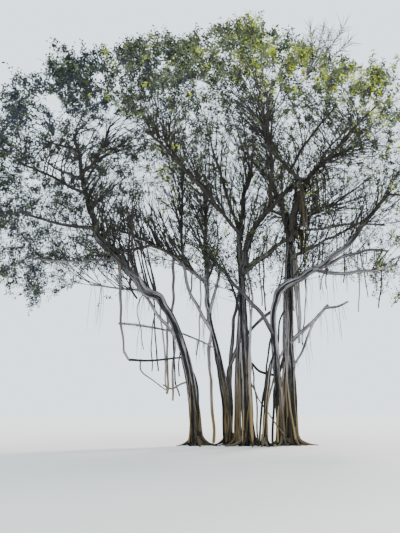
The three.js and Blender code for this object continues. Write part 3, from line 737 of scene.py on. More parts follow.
# From a knot below the left hanging root, one root runs across to the left stem and one drops
knot = point_along("left_hanging_root", 0.96) + np.array([0.3, 0, -0.55])
stem_side = point_along("left_stem", 0.59)
add_root(mesh, [point_along("left_hanging_root", 0.96), knot], (0.13, 0.14))
add_root(mesh, [knot, knot * 0.6 + stem_side * 0.4 + (0, 0, -0.1), stem_side], (0.14, 0.1))
drop_from = knot * 0.8 + stem_side * 0.2
add_root(mesh, [drop_from, drop_from + (0.1, 0.1, -0.6), drop_from + (0.7, 0.2, -1.1),
                drop_from + (1.4, 0.3, -1.6)], (0.1, 0.05))

# Cords that run down close to the stems and one fork, half sunk in their bark
CORD_WIDTHS = (0.04, 0.11)
CORD_OFF_BARK = 0.012
RINGS_TO_NEXT_BEND = 5
CLINGING = {"main_trunk": 24, "right_trunk": 28, "left_stem": 9, "inner_right_pillar": 12,
            "inner_left_stem": 8, "dark_pillar": 8, "side_pillar": 4, "right_fork_right": 22,
            "link_limb": 5, "trunk_right_limb": 8}
for name, count in CLINGING.items():
    middles, reach = bark_forms[name]
    across, up = frames_of(middles, True)
    rings = min(round(limbs[name]["length"] / RING_EVERY), len(middles) - 1)
    for k in range(count):
        top = int(rings * root_dice.uniform(0.35, 1.0))
        foot = max(0, int(top * root_dice.uniform(-0.6, 0.6)))
        ring = np.arange(top, foot, -RINGS_TO_NEXT_BEND)
        turn = root_dice.uniform(0, 2 * math.pi) + 0.5 * drift(2000 + k, ring * RING_EVERY, 1.5)
        column = (turn / (2 * math.pi) * reach.shape[1]).astype(int) % reach.shape[1]
        out = (reach[ring, column] + CORD_OFF_BARK)[:, None]
        side = across[ring] * np.cos(turn)[:, None] + up[ring] * np.sin(turn)[:, None]
        width = root_dice.uniform(*CORD_WIDTHS)
        cord = middles[ring] + side * out
        add_root(mesh, cord, (width * 0.7, width), sides=6, every=0.2, wobble=0.012)
finish_bark("aerial_roots_bark", mesh, root_bark)

# A tangle of mossy roots hangs in front of the right fork, in three bunches: the limb that
# bears it, the stretch of the limb in shares, how far the roots drop, how far aside they hang
# and how thick they are, and how many
TANGLES = (
    ("right_fork_right", (0.05, 0.35), (1.1, 2.4), (0.05, 0.75), (0.05, 0.11), 20),
    ("right_fork_right", (0.6, 1.0), (1.6, 3.6), (-0.1, 0.5), (0.04, 0.09), 14),
    ("upper_right_arm", (0.1, 0.42), (1.4, 3.0), (-0.1, 0.4), (0.04, 0.1), 18),
)
mesh = new_bark_mesh()
for name, stretch, drops, asides, widths, count in TANGLES:
    for k in range(count):
        top = point_along(name, root_dice.uniform(*stretch))
        drop = root_dice.uniform(*drops)
        aside, near = root_dice.uniform(*asides), root_dice.uniform(-0.45, 0.15)
        width = root_dice.uniform(*widths)
        bends = [top, top + (aside, near, -drop * 0.3), top + (aside, near, -drop * 0.65),
                 top + (aside * 0.8, near, -drop)]
        add_root(mesh, bends, (width, width * 0.5), sides=6, every=0.15, wobble=0.05)
mossy_bark = bark_material(
    "mossy_root_bark", ("#1f1d14", "#6f6a42"), ("#1f1e16", "#6f6a44"), ("#191811", "#6b6446"),
    "#4d522c", "#11110b")
finish_bark("mossy_roots_bark", mesh, mossy_bark)


def mesh_from_arrays(name, points, faces_by_size, smooth=False):
    """A joined mesh of many small things. `faces_by_size` holds arrays of faces, each of one
    number of corners."""
    data = bpy.data.meshes.new(name)
    data.vertices.add(len(points))
    data.vertices.foreach_set("co", np.asarray(points, np.float32).ravel())
    corners = np.concatenate([faces.ravel() for faces in faces_by_size])
    sizes = np.concatenate([np.full(len(faces), faces.shape[1]) for faces in faces_by_size])
    data.loops.add(len(corners))
    data.loops.foreach_set("vertex_index", corners.astype(np.int32))
    data.polygons.add(len(sizes))
    starts = np.concatenate([[0], np.cumsum(sizes)[:-1]])
    data.polygons.foreach_set("loop_start", starts.astype(np.int32))
    data.polygons.foreach_set("use_smooth", (sizes == 4) & smooth)
    data.update(calc_edges=True)
    data.validate()
    return data


def bow_points(start, handle, end, share):
    """Points at a share of the way along bows, each drawn by its handle."""
    back = 1 - share
    return back ** 2 * start + 2 * share * back * handle + share ** 2 * end


def twig_arrays(rows, rings, sides):
    """Bowed twigs with flat sides, closed at the base and pointed at the tip."""
    start, handle, end = (np.array([row[k] for row in rows]) for k in range(3))
    radii = np.array([[row[3], row[4]] for row in rows])
    t = np.linspace(0, 1, rings)[None, :, None]
    middles = bow_points(start[:, None], handle[:, None], end[:, None], t)
    ahead = end - start
    ahead /= norm(ahead, axis=1)[:, None]
    side = np.cross(ahead, np.array([0.31, 0.23, 0.92]))
    side /= norm(side, axis=1)[:, None]
    up = np.cross(ahead, side)
    radius = radii[:, :1] + (radii[:, 1:] - radii[:, :1]) * t[:, :, 0]
    corners = []
    for k in range(sides):
        x, y = math.cos(2 * math.pi * k / sides), math.sin(2 * math.pi * k / sides)
        corners.append(middles[:, :-1] + (side * x + up * y)[:, None] * radius[:, :-1, None])
    count = len(rows)
    body = np.stack(corners, axis=2).reshape(count, (rings - 1) * sides, 3)
    points = np.concatenate([body, middles[:, -1:]], axis=1)
    per = (rings - 1) * sides + 1
    quads = [[ring + k, ring + (k + 1) % sides, ring + sides + (k + 1) % sides, ring + sides + k]
             for ring in range(0, (rings - 2) * sides, sides) for k in range(sides)]
    last = (rings - 2) * sides
    tris = [[0, k + 1, k] for k in range(1, sides - 1)]
    tris += [[last + k, last + (k + 1) % sides, per - 1] for k in range(sides)]
    offsets = (np.arange(count) * per)[:, None, None]
    quads = (np.array(quads)[None] + offsets).reshape(-1, 4)
    tris = (np.array(tris)[None] + offsets).reshape(-1, 3)
    return points.reshape(-1, 3), quads, tris


def join_twigs(name, batches, material, nodes):
    """One piece from batches of twigs, each with its number of rings and sides."""
    points, quads, tris, offset = [], [], [], 0
    for rows, rings, sides in batches:
        p, q, t = twig_arrays(rows, rings, sides)
        points.append(p)
        quads.append(q + offset)
        tris.append(t + offset)
        offset += len(p)
    faces = [np.concatenate(quads), np.concatenate(tris)]
    data = mesh_from_arrays(name, np.concatenate(points), faces, smooth=True)
    add_piece(name, data, material, nodes)


# Young roots as thin as a finger hang in rows under the boughs and the thin limbs
HAIR_ROOTS = 340
HAIR_ROOT_RADII = (0.013, 0.007)
LOWEST_HAIR_TIP = 1.2
spreading = {name: form for name, form in limbs.items() if form["kind"] in ("bough", "thin")}
carriers = list(spreading)
carriers += ["upper_right_arm", "behind_right_limb", "right_bough", "left_bough"] * 4
hair_roots = []
for k in range(HAIR_ROOTS):
    name = carriers[int(root_dice.integers(len(carriers)))]
    top = point_along(name, root_dice.uniform(0.08, 0.95))
    length = min(root_dice.uniform(0.5, 1.2) ** 2 * 2.2, top[2] - LOWEST_HAIR_TIP)
    sway = root_dice.normal(size=3) * (0.08, 0.08, 0)
    for _ in range(int(root_dice.integers(1, 4))):
        aside = root_dice.normal(size=3) * (0.12, 0.05, 0)
        end = top + aside + sway - np.array([0, 0, length * root_dice.uniform(0.5, 1)])
        hair_roots.append((top + aside * 0.3, (top + end) / 2 + aside, end, *HAIR_ROOT_RADII))
young_root, _, _ = new_material("young_root_skin", "#37302b", 0.7)
join_twigs("young_hanging_roots", [(hair_roots, 6, 3)], young_root, ())


# Twigs
# Twigs carry the crown from the boughs out to its surface. Each runs to the middle of the
# space that it feeds and parts on the way, again and again, down to shoots of a pencil's
# thickness. They are living wood with thin bark, drawn near black: partly its own dark colour and
# partly painted shade.

GOLDEN_ANGLE = math.pi * (3 - math.sqrt(5))
CROWN_MIDDLE = np.array([-1.5, -0.5, 12.3])
CROWN_SIDE, CROWN_FRONT, CROWN_BACK, CROWN_UP = 13.4, 11.9, 10.4, 9.4
CROWN_LIMIT = 1.02
MASS_SHARE = 0.84
MASSES = {
    "right_rim_leaves": ("right_outer_bough", -15, 9),
    "right_rear_leaves": ("right_rear_limb", 28, 22),
    "back_right_leaves": ("back_right_bough", 62, 24),
    "back_middle_leaves": ("back_middle_bough", 100, 26),
    "back_left_leaves": ("upper_left_bough", 142, 17),
    "left_side_leaves": ("left_rear_limb", 176, 34),
    "left_front_leaves": ("left_middle_limb", 210, 12),
    "left_low_leaves": ("left_low_limb", 188, 0),
    "low_left_leaves": ("low_left_limb", 196, -22),
    "left_top_leaves": ("left_upright_limb", 204, 42),
    "front_left_leaves": ("front_left_bough", 243, 30),
    "front_middle_leaves": ("front_middle_bough", 281, 28),
    "front_right_leaves": ("front_right_bough", 316, 24),
    "upper_right_leaves": ("upper_right_arm", 352, 38),
    "top_front_leaves": ("upper_left_arm", 300, 55),
    "top_middle_leaves": ("trunk_left_limb", 350, 76),
    "top_left_leaves": ("tall_left_limb", 165, 60),
    "top_back_leaves": ("inner_left_limb", 95, 54),
    "top_right_leaves": ("right_fork_left", 38, 56),
    "right_low_leaves": ("right_low_limb", 4, -13),
}

TWIG_TIPS = 268
LOW_AT_SIDES, LOW_AT_FRONT = -30, 7
TIP_DEEP, TIP_SHALLOW = 0.62, 0.91
TIP_SEED = 8191
TWIG_START = 0.98
TWIG_FREE_AFTER = 0.7
FORK_SHARES = (0.3, 0.52)
TWIG_RADIUS = 0.025
TWIG_GROWTH = 0.4
SIDE_TWIG_BASE = 0.45
ROOM_BETWEEN_MASSES = 0.06
ROOM_ROUND_LIMBS = 0.04
LOOK_EVERY = 0.2


def crown_point(direction, share):
    reach = np.array([CROWN_SIDE, CROWN_FRONT if direction[1] < 0 else CROWN_BACK, CROWN_UP])
    return CROWN_MIDDLE + direction * reach * share


def crown_direction(points):
    """Where points lie in the crown: a direction times the share of the way to its surface."""
    out = np.atleast_2d(points) - CROWN_MIDDLE
    depth = np.where(out[:, 1] < 0, CROWN_FRONT, CROWN_BACK)
    return np.stack([out[:, 0] / CROWN_SIDE, out[:, 1] / depth, out[:, 2] / CROWN_UP], axis=1)


def share_of_crown(points):
    return norm(crown_direction(points), axis=1)


mass_middles = np.array([crown_point(heading(b, r), MASS_SHARE) for _, b, r in MASSES.values()])


def even_directions(count, lowest_at_sides, lowest_at_front):
    """Directions laid evenly over the dome, lower at its sides than at its front and back."""
    for i in range(count):
        z = 1 - (2 * i + 1) / count
        bearing = i * GOLDEN_ANGLE
        lowest = lowest_at_front + (lowest_at_sides - lowest_at_front) * math.cos(bearing) ** 4
        flat = math.sqrt(1 - z * z)
        kept = z >= math.sin(math.radians(lowest))
        yield kept, np.array([flat * math.cos(bearing), flat * math.sin(bearing), z])


def first_tips():
    throw, tips = TIP_SEED, []
    for kept, direction in even_directions(TWIG_TIPS, LOW_AT_SIDES, LOW_AT_FRONT):
        throw = throw * 16807 % 2147483647
        depth = (throw / 2147483647) ** 2
        if kept:
            tips.append(crown_point(direction, TIP_SHALLOW + (TIP_DEEP - TIP_SHALLOW) * depth))
    return np.array(tips)


solid_limbs = [form for form in limbs.values() if form["kind"] != "thin"]
limb_starts = np.concatenate([form["line"][:-1] for form in solid_limbs])
limb_ends = np.concatenate([form["line"][1:] for form in solid_limbs])
step_shares = np.arange(LINE_STEPS) / LINE_STEPS
limb_radii = np.concatenate([
    np.interp(step_shares, (0, 1), form["width"]) / 2 for form in solid_limbs])


def nearest_on(starts, ends, point):
    """How far a point lies from each straight piece, and how far along it that is."""
    along = ends - starts
    share = np.clip(((point - starts) * along).sum(1) / (along ** 2).sum(1), 0, 1)
    return norm(starts + along * share[:, None] - point, axis=1), share


def keeps_clear(point, own, room):
    if share_of_crown(point)[0] >= CROWN_LIMIT:
        return False
    squares = ((mass_middles - point) ** 2).sum(1)
    apart = norm(mass_middles - mass_middles[own], axis=1)
    others = np.arange(len(mass_middles)) != own
    rooms = (squares - squares[own])[others] / (2 * apart[others])
    if rooms.min() <= room + ROOM_BETWEEN_MASSES:
        return False
    distance, _ = nearest_on(limb_starts, limb_ends, point)
    return (distance - limb_radii).min() > room + ROOM_ROUND_LIMBS


def twig_keeps_clear(start, end, own, radius, skip_start):
    length = norm(end - start)
    samples = math.ceil(length / LOOK_EVERY)
    for i in range(samples + 1):
        if length * i / samples >= skip_start:
            if not keeps_clear(start + (end - start) * i / samples, own, radius):
                return False
    return True


def middle_tip(tips):
    return norm(tips - tips.mean(0), axis=1).argmin()


def parted(tips):
    """Two groups of tips: each goes with the nearer of the two that lie farthest apart."""
    first = tips[norm(tips - tips.mean(0), axis=1).argmax()]
    second = tips[norm(tips - first, axis=1).argmax()]
    with_first = norm(tips - first, axis=1) <= norm(tips - second, axis=1)
    return tips[with_first], tips[~with_first]


# Each twig as its start, the handle that bows it, its end, and its radius at both ends
twigs = []
twig_dice = np.random.default_rng(2203)


def grow_first_twigs(own, start, tips, radius, skip_start):
    """A twig runs to the middlemost of its tips. The other tips part in two groups, whose
    own twigs leave it on the way."""
    main = tips[middle_tip(tips)]
    others = np.delete(tips, middle_tip(tips), axis=0)
    if not twig_keeps_clear(start, main, own, radius, skip_start):
        return
    length = norm(main - start)
    sideways = np.cross(main - start, twig_dice.normal(size=3))
    sideways *= 0.05 * length / norm(sideways)
    twigs.append((start, (start + main) / 2 + sideways, main, radius, TWIG_RADIUS * 0.5))
    if len(others) == 0:
        return
    for share, group in zip(FORK_SHARES, parted(others)):
        if len(group):
            base = SIDE_TWIG_BASE * (radius + (TWIG_RADIUS - radius) * share)
            grow_first_twigs(own, start + (main - start) * share, group, base, 0)


tips = first_tips()
nearest_mass = norm(tips[:, None] - mass_middles[None], axis=2).argmin(1)
for own, (carrier, _, _) in enumerate(MASSES.values()):
    mine = tips[nearest_mass == own]
    start = point_along(carrier, TWIG_START)
    grow_first_twigs(own, start, mine, TWIG_RADIUS * len(mine) ** TWIG_GROWTH, TWIG_FREE_AFTER)


def unit(vector):
    return vector / norm(vector)


def on_bow(twig, share):
    """The place and the heading at a share of the way along a twig."""
    start, handle, end = twig[:3]
    ahead = 2 * (1 - share) * (handle - start) + 2 * share * (end - handle)
    return bow_points(start, handle, end, share), unit(ahead)


def handle_of(start, end, wander, sag=0.0):
    """A handle near the middle of a twig, moved at random and down by so much."""
    return (start + end) / 2 + (0, 0, -sag) + twig_dice.normal(size=3) * wander


def lean_from(ahead, narrow, wide, lift=0.0):
    """A side thrown at random, square to a heading, and the heading leant to that side by an
    angle in degrees between two limits."""
    side = twig_dice.normal(size=3) + (0, 0, lift)
    side = unit(side - ahead * side.dot(ahead))
    spread = math.radians(twig_dice.uniform(narrow, wide))
    return side, ahead * math.cos(spread) + side * math.sin(spread)


# Branches rise from all along the boughs and thin limbs, at a sharp angle, and open out
# like a broom inside the crown
BRANCH_TIPS = 2500
BRANCH_DEEP, BRANCH_SHALLOW = 0.34, 0.86
BRANCHES_LOW_AT_SIDES, BRANCHES_LOW_AT_FRONT = -28, 6
BRANCH_LONGEST = 6.5
BRANCH_TIP_RADIUS = 0.006
SIDE_BRANCHES = 2
ROOM_FOR_BRANCH = 0.5
LOW_BELOW = 0.42
# Low in the crown, from one share of its half width to another, this part of the branches grows
LOW_PARTS = ((-1.1, -0.65, 0.6), (-0.65, -0.05, 0.32), (-0.05, 0.12, 0.5), (0.12, 1.1, 0.25))
BARE = {"prop_limb", "fork_limb", "slender_link", "side_prop", "broken_bough", "broken_branch",
        "dead_limb", "under_left_limb"}
places = []
for name, form in spreading.items():
    if name not in BARE:
        for share in np.arange(0.12, 0.99, 0.04):
            ahead = unit(point_along(name, share + 0.01) - point_along(name, share))
            radius = (form["width"][0] + (form["width"][1] - form["width"][0]) * share) / 2
            places.append((*point_along(name, share), *ahead, radius))
places = np.array(places)
crowding = np.zeros(len(places))
branches = []
for kept, direction in even_directions(BRANCH_TIPS, BRANCHES_LOW_AT_SIDES, BRANCHES_LOW_AT_FRONT):
    throw = twig_dice.uniform()
    if direction[2] < LOW_BELOW:
        kept &= any(first <= direction[0] < last and throw < part
                    for first, last, part in LOW_PARTS)
    share = BRANCH_DEEP + (BRANCH_SHALLOW - BRANCH_DEEP) * twig_dice.uniform() ** 0.8
    tip = crown_point(direction, share) + twig_dice.normal(size=3) * 0.3
    way = tip - places[:, :3]
    length = norm(way, axis=1)
    sharp = (way * places[:, 3:6]).sum(1) / length
    cost = length * (2.2 - 1.2 * sharp) + 0.8 * (way[:, 2] < 0) + 0.9 * crowding
    best = cost.argmin()
    if kept and length[best] < BRANCH_LONGEST:
        start, ahead, thick = places[best, :3], places[best, 3:6], places[best, 6]
        straight = way[best] / length[best]
        handle = start + unit(ahead * 0.6 + straight * 0.7 + (0, 0, 0.25)) * length[best] * 0.38
        handle = handle + twig_dice.normal(size=3) * 0.07 * length[best]
        apart = norm(places[:, :3] - start, axis=1)
        crowding += np.exp(-(apart / ROOM_FOR_BRANCH) ** 2)
        radius = min(0.75 * thick, (0.016 + 0.0115 * length[best]) * twig_dice.uniform(0.5, 1.05))
        branches.append((start, handle, tip, radius, BRANCH_TIP_RADIUS))
twigs += branches
for branch in branches:
    for k in range(SIDE_BRANCHES):
        share = twig_dice.uniform(0.3, 0.8)
        root, ahead = on_bow(branch, share)
        side, out = lean_from(ahead, 22, 48, 0.4)
        length = norm(branch[2] - branch[0]) * twig_dice.uniform(0.3, 0.55)
        end = root + out * length
        handle = root + unit(ahead * 0.8 + side * 0.4) * length * 0.45
        if share_of_crown(end)[0] < 0.95:
            base = BRANCH_TIP_RADIUS + branch[3] * (1 - share) * 0.7
            twigs.append((root, handle, end, base, BRANCH_TIP_RADIUS))

# Long straight twigs fan out from the limbs, most of them to the right, each into the room that
# the limbs and the twigs before it have left, and bear side twigs at a sharp angle: the limb that
# bears them, their bearings, their rises and how many
FANS = (
    ("upper_right_arm", (-70, 30), (-8, 58), 55),
    ("right_fork_right", (-70, 40), (10, 60), 35),
    ("right_fork_left", (-140, 20), (20, 70), 16),
    ("trunk_right_limb", (-90, 60), (15, 65), 18),
    ("right_rear_limb", (-60, 50), (0, 50), 36),
    ("right_outer_bough", (-80, 40), (30, 75), 30),
    ("right_bough", (-60, 40), (25, 65), 8),
    ("trunk_left_limb", (-160, 0), (20, 75), 32),
    ("inner_left_limb", (60, 240), (20, 75), 35),
    ("left_bough", (120, 260), (15, 70), 12),
)
FAN_TRIES = 16
FAN_LENGTHS = (2.0, 4.4)
SIDE_TWIGS_ON_FAN = 3
SIDE_TWIG_LENGTHS = (0.8, 1.8)
taken = np.array([point_along(name, share)
                  for name in spreading for share in np.linspace(0, 1, 13)])
for name, bearings, rises, count in FANS:
    for k in range(count):
        best = None
        for _ in range(FAN_TRIES):
            start = point_along(name, twig_dice.uniform(0.3, 1))
            way = heading(twig_dice.uniform(*bearings), twig_dice.uniform(*rises))
            end = start + way * twig_dice.uniform(*FAN_LENGTHS)
            room = sum(norm((taken - p) * (1, 0.35, 1), axis=1).min()
                       for p in (start + (end - start) * 0.6, end))
            if 0.3 < share_of_crown(end)[0] < 0.95 and (best is None or room > best[0]):
                best = (room, start, end)
        if best is None:
            continue
        room, start, end = best
        length = norm(end - start)
        handle = handle_of(start, end, 0.1, 0.06 * length)
        bow = (start, handle, end, 0.014 + 0.0035 * length, 0.011)
        twigs.append(bow)
        taken = np.concatenate([taken, [on_bow(bow, share)[0] for share in (0.4, 0.6, 0.8, 1.0)]])
        for _ in range(SIDE_TWIGS_ON_FAN):
            root, ahead = on_bow(bow, twig_dice.uniform(0.2, 0.85))
            out = unit(lean_from(ahead, 16, 38)[1] + (0, 0, 0.08))
            tip = root + out * twig_dice.uniform(*SIDE_TWIG_LENGTHS)
            if share_of_crown(tip)[0] < 0.97:
                twigs.append((root, handle_of(root, tip, 0.05), tip, 0.015, 0.009))

# Long twigs lean away from the outer four fifths of every bough and fill the crown with
# fine lines
LONG_TWIGS_PER_METRE = 4
LONG_TWIG_LENGTHS = (1.4, 4.0)
LONG_TWIGS_FROM = 5
for name, form in spreading.items():
    if name not in BARE:
        for k in range(int(LONG_TWIGS_PER_METRE * form["length"] * 0.8)):
            share = twig_dice.uniform(0.2, 0.99)
            start = point_along(name, share)
            ahead = unit(point_along(name, share + 0.01) - start)
            out = unit(lean_from(ahead, 20, 60)[1] + (0, 0, 0.35))
            length = twig_dice.uniform(*LONG_TWIG_LENGTHS)
            end = start + out * length
            high_enough = start[2] > LONG_TWIGS_FROM and out[2] > 0.1
            if high_enough and 0.2 < share_of_crown(end)[0] < 0.96:
                handle = handle_of(start, end, 0.1, 0.05 * length)
                twigs.append((start, handle, end, 0.012 + 0.004 * length, 0.008))

# Fine twigs end all over the crown, in an uneven layer under its surface
FINE_TIPS = 12400
FINE_SHALLOW, FINE_DEEP = 0.985, 0.45
FINE_LOW_AT_SIDES, FINE_LOW_AT_FRONT = -34, 2
CLUMPING = 0.3
GROUP = 9
FINE_RADIUS = 0.007
FINE_GROWTH = 0.5
# How far the crown reaches at each bearing, as a share of the even dome
CROWN_EDGE = ((180, 1.0), (205, 1.055), (224, 1.08), (232, 1.06), (239, 1.0), (245, 0.95),
              (252, 0.972), (259, 0.945), (268, 0.97), (275, 1.015), (285, 0.965), (290, 1.0),
              (297, 0.94), (303, 0.905), (308, 0.94), (312, 0.995), (318, 1.02), (328, 1.0))
# Lines of open sky through the crown, and how wide each opens
GAPS = (
    ((-8.7, -9, 13.8), (-12.9, 1, 22), 0.5),
    ((-5.9, -9, 12.9), (-8.2, 1, 20.4), 0.8),
    ((0.2, -9, 8.1), (2.8, 6, 14.6), 0.8),
    ((-8.1, -9, 10.8), (-11.8, 1, 16.9), 0.9),
    ((-4.4, -9, 9.2), (-6.4, 6, 16.8), 0.9),
)
# Where the crown is full
FULL_SPOTS = (((-8.2, -6.8, 18.4), 1.7), ((-1.0, -4.0, 20.0), 3.0), ((5.5, -7.5, 16.0), 2.0),
              ((2.4, -6.6, 17.8), 2.0))
FULLNESS = 0.8
# The crown is more open from here to the left, and in uneven patches
LEFT_FROM, LEFT_OVER = -5.5, 3
OPEN_AT_LEFT, OPEN_IN_PATCHES, PATCH = 0.18, 0.18, 1.1
gap_starts = np.array([row[0] for row in GAPS], float)
gap_ends = np.array([row[1] for row in GAPS], float)
gap_widths = np.array([row[2] for row in GAPS])


def lumpy(points, size):
    """A smooth three-way unevenness from about -1 to 1."""
    x, y, z = (np.asarray(points) / size).T
    return (np.sin(1.3 * x + 0.7 * y + 2.1) * np.sin(1.1 * y - 0.6 * z + 0.4)
            + np.sin(0.9 * z + 0.8 * x + 5.0) * np.sin(1.4 * x - 0.5 * y + 1.7)
            + 0.6 * np.sin(2.3 * x + 1.9 * z) * np.sin(2.1 * y + 1.2 * z)) / 1.6


def edge_gain(direction):
    bearing = math.degrees(math.atan2(direction[1], direction[0])) % 360
    rows = np.array(CROWN_EDGE)
    gain = np.interp(bearing, rows[:, 0], rows[:, 1])
    return 1 + (gain - 1) * min(1, max(0, (0.85 - direction[2]) / 0.25))


starts = np.array([twig[0] for twig in twigs])
ends = np.array([twig[2] for twig in twigs])
fine_tips = []
for kept, direction in even_directions(FINE_TIPS, FINE_LOW_AT_SIDES, FINE_LOW_AT_FRONT):
    depth = twig_dice.uniform() ** 1.8
    nudge = twig_dice.normal(size=3) * 0.16
    pull = CLUMPING * twig_dice.uniform(0.3, 1)
    throw = twig_dice.uniform()
    share = (FINE_SHALLOW + (FINE_DEEP - FINE_SHALLOW) * depth) * edge_gain(direction)
    tip = crown_point(direction, share) + nudge
    tip += (ends[norm(ends - tip, axis=1).argmin()] - tip) * pull
    tip = np.clip(tip, np.array(cad_box[0]) + 0.15, np.array(cad_box[1]) - 0.15)
    distance, _ = nearest_on(gap_starts, gap_ends, tip)
    left = np.clip((LEFT_FROM - tip[0]) / LEFT_OVER, 0, 1)
    openness = OPEN_AT_LEFT * left + OPEN_IN_PATCHES * lumpy(tip, PATCH) * (1 + left)
    for spot, reach in FULL_SPOTS:
        openness -= FULLNESS * math.exp(-(norm(tip - spot) / reach) ** 2)
    if kept and (distance > gap_widths).all() and throw > openness:
        fine_tips.append(tip)

# Dense clumps stand out at the top and at the right shoulder
CLUMP_REACH = (0.8, 0.8, 0.5)
CLUMPS = (((-0.1, -6.9, 20.5), 22), ((6.6, -6.9, 17.9), 12))
for clump, count in CLUMPS:
    for k in range(count):
        aside = unit(twig_dice.normal(size=3)) * CLUMP_REACH * twig_dice.uniform() ** 0.4
        fine_tips.append(np.minimum(np.array(clump) + aside, cad_box[1][2] - 0.15))

# Some thin growth fills the open middle of the crown above the fork of the trunks
INNER_TIPS = 420
INNER_MIDDLE, INNER_REACH = np.array([-0.1, 0.3, 10.4]), np.array([3.4, 3.0, 2.3])
for k in range(INNER_TIPS):
    out = unit(twig_dice.normal(size=3))
    fine_tips.append(INNER_MIDDLE + INNER_REACH * out * twig_dice.uniform() ** 0.4)

sprays = []


def grow_fine_twigs(start, ahead, tips, radius):
    """The same rule, carried on: a bowed twig to the middlemost tip, which ends in a spray."""
    main = tips[middle_tip(tips)]
    others = np.delete(tips, middle_tip(tips), axis=0)
    length = norm(main - start)
    handle = start + unit(ahead + (main - start) / length) * length * 0.45
    twig = (start, handle, main, radius, FINE_RADIUS * 0.6)
    twigs.append(twig)
    sprays.append(twig)
    if len(others) == 0:
        return
    for share, group in zip(FORK_SHARES, parted(others)):
        if len(group):
            base = min(radius * (1 - share), FINE_RADIUS * len(group) ** FINE_GROWTH)
            base = max(FINE_RADIUS, base)
            grow_fine_twigs(*on_bow(twig, share), group, base)


served = [[] for _ in twigs]
for tip in fine_tips:
    distance, share = nearest_on(starts, ends, tip)
    best = (distance + 0.6 * (1 - share)).argmin()
    served[best].append((share[best], tip))
for number, group in enumerate(served):
    group.sort(key=lambda pair: pair[0])
    for k in range(0, len(group), GROUP):
        part = group[k:k + GROUP]
        share = float(np.clip(part[0][0] - 0.2, 0.08, 0.93))
        base = FINE_RADIUS * len(part) ** FINE_GROWTH
        grow_fine_twigs(*on_bow(twigs[number], share), np.array([tip for _, tip in part]), base)

# Sprouts stand straight out of the bark of the boughs and forks
SPROUTS_PER_METRE = 7
SPROUTS_FROM, SPROUTS_TO = 8.0, 14.5
SPROUT_LENGTHS = (0.35, 1.1)
SPROUT_RADII = (0.008, 0.004)
for name, form in limbs.items():
    for k in range(int(SPROUTS_PER_METRE * form["length"]) if name not in BARE else 0):
        start = point_along(name, twig_dice.uniform(0.05, 1))
        out = unit(twig_dice.normal(size=3) + (0, 0, 0.5))
        end = start + out * twig_dice.uniform(*SPROUT_LENGTHS)
        if SPROUTS_FROM < start[2] < SPROUTS_TO and form["kind"] != "root":
            twig = (start, handle_of(start, end, 0.05), end, *SPROUT_RADII)
            twigs.append(twig)
            sprays.append(twig)

# Bare twigs on the dead limbs: from what share of the way along each, and how many
bare_twigs = []
DEAD_TWIG_RADII = (0.012, 0.005)
DEAD = (("dead_limb", 0.35, 26), ("broken_branch", 0.3, 6), ("broken_bough", 0.8, 5))
for name, first, count in DEAD:
    for k in range(count):
        start = point_along(name, twig_dice.uniform(first, 1))
        out = unit(heading(twig_dice.uniform(0, 360), twig_dice.uniform(-50, 30)))
        length = twig_dice.uniform(0.15, 0.6)
        end = start + (out + (0, 0, -0.2)) * length
        bare_twigs.append((start, start + out * length * 0.5, end, *DEAD_TWIG_RADII))

# A bare tuft stands up from the crown's right shoulder: the top of each of its stems, and how
# many twigs the stem bears
TUFT_FOOT = np.array([3.0, -6.3, 18.0])
TUFT_STEM_RADII, TUFT_TWIG_RADII = (0.035, 0.008), (0.014, 0.007)
TUFT_TWIG_LENGTHS = (0.25, 0.9)
TUFT_TOP = 21.7
TUFT_STEMS = (((4.8, -7.2, 20.2), 70), ((4.7, -5.9, 21.5), 70), ((4.2, -6.2, 21.4), 80),
              ((3.2, -7.0, 20.3), 90), ((3.15, -5.4, 21.1), 80), ((5.3, -6.9, 19.8), 50))
for top, count in TUFT_STEMS:
    top = np.array(top)
    stem_twig = (TUFT_FOOT, (TUFT_FOOT + top) / 2 + (0.2, 0, -0.15), top, *TUFT_STEM_RADII)
    bare_twigs.append(stem_twig)
    for k in range(count):
        root, ahead = on_bow(stem_twig, twig_dice.uniform(0.2, 1))
        lean = twig_dice.normal(size=3)
        out = unit(ahead * 0.9 + unit(lean) * 0.8)
        end = root + out * twig_dice.uniform(*TUFT_TWIG_LENGTHS)
        end[2] = min(end[2], TUFT_TOP + 0.3 * twig_dice.uniform())
        bare_twigs.append((root, (root + end) / 2 + (0.04, 0, -0.05), end, *TUFT_TWIG_RADII))
weathered, _, _ = new_material("weathered_bare_twig", "#6b6468", 0.9)
join_twigs("bare_twigs", [(bare_twigs, 5, 4)], weathered, ())

# Young bark is mottled in blotches about 0.3 m long, and drawn near black, partly its own colour
# and partly painted shade
twig_bark, tree, shader = new_material("young_fig_bark", "#171514", 0.8)
place = add_node(tree, "TexCoord", {})
mottle = add_node(tree, "TexNoise", {
    "Vector": place.outputs["Object"], "Scale": 3.0, "Detail": 2})
tone = add_node(tree, "Mix", {
    "Factor": mottle.outputs["Fac"], 6: linear("#171514"), 7: linear("#3d3833")}, data_type="RGBA")
tree.links.new(tone.outputs[2], shader.inputs["Base Color"])

# Shoots of this year's growth stand along the outer half of each fine twig and bear the
# leaves. They are closest where the crown rounds over at the top, and few in the shade inside.
SHOOTS = 12
SHOOT_RADIUS = 0.0032
SHOOT_LENGTHS = (0.2, 0.5)
# Shares of the shoots: everywhere, at the left, at the left and the right of the shade inside,
# deep inside, and where the crown rounds over
SHOOTS_EVERYWHERE, SHOOTS_AT_LEFT = 0.9, 0.85
SHOOTS_IN_SHADE = (0.26, 0.07)
SHOOTS_DEEP_INSIDE, DEEP_INSIDE = 0.11, 0.5
SHOOTS_ROUND_TOP, ROUND_TOP_MIDDLE, ROUND_TOP_REACH = 1.06, 0.05, 0.36
LEAFY_FROM, LEAFY_OVER = 0.66, 0.25
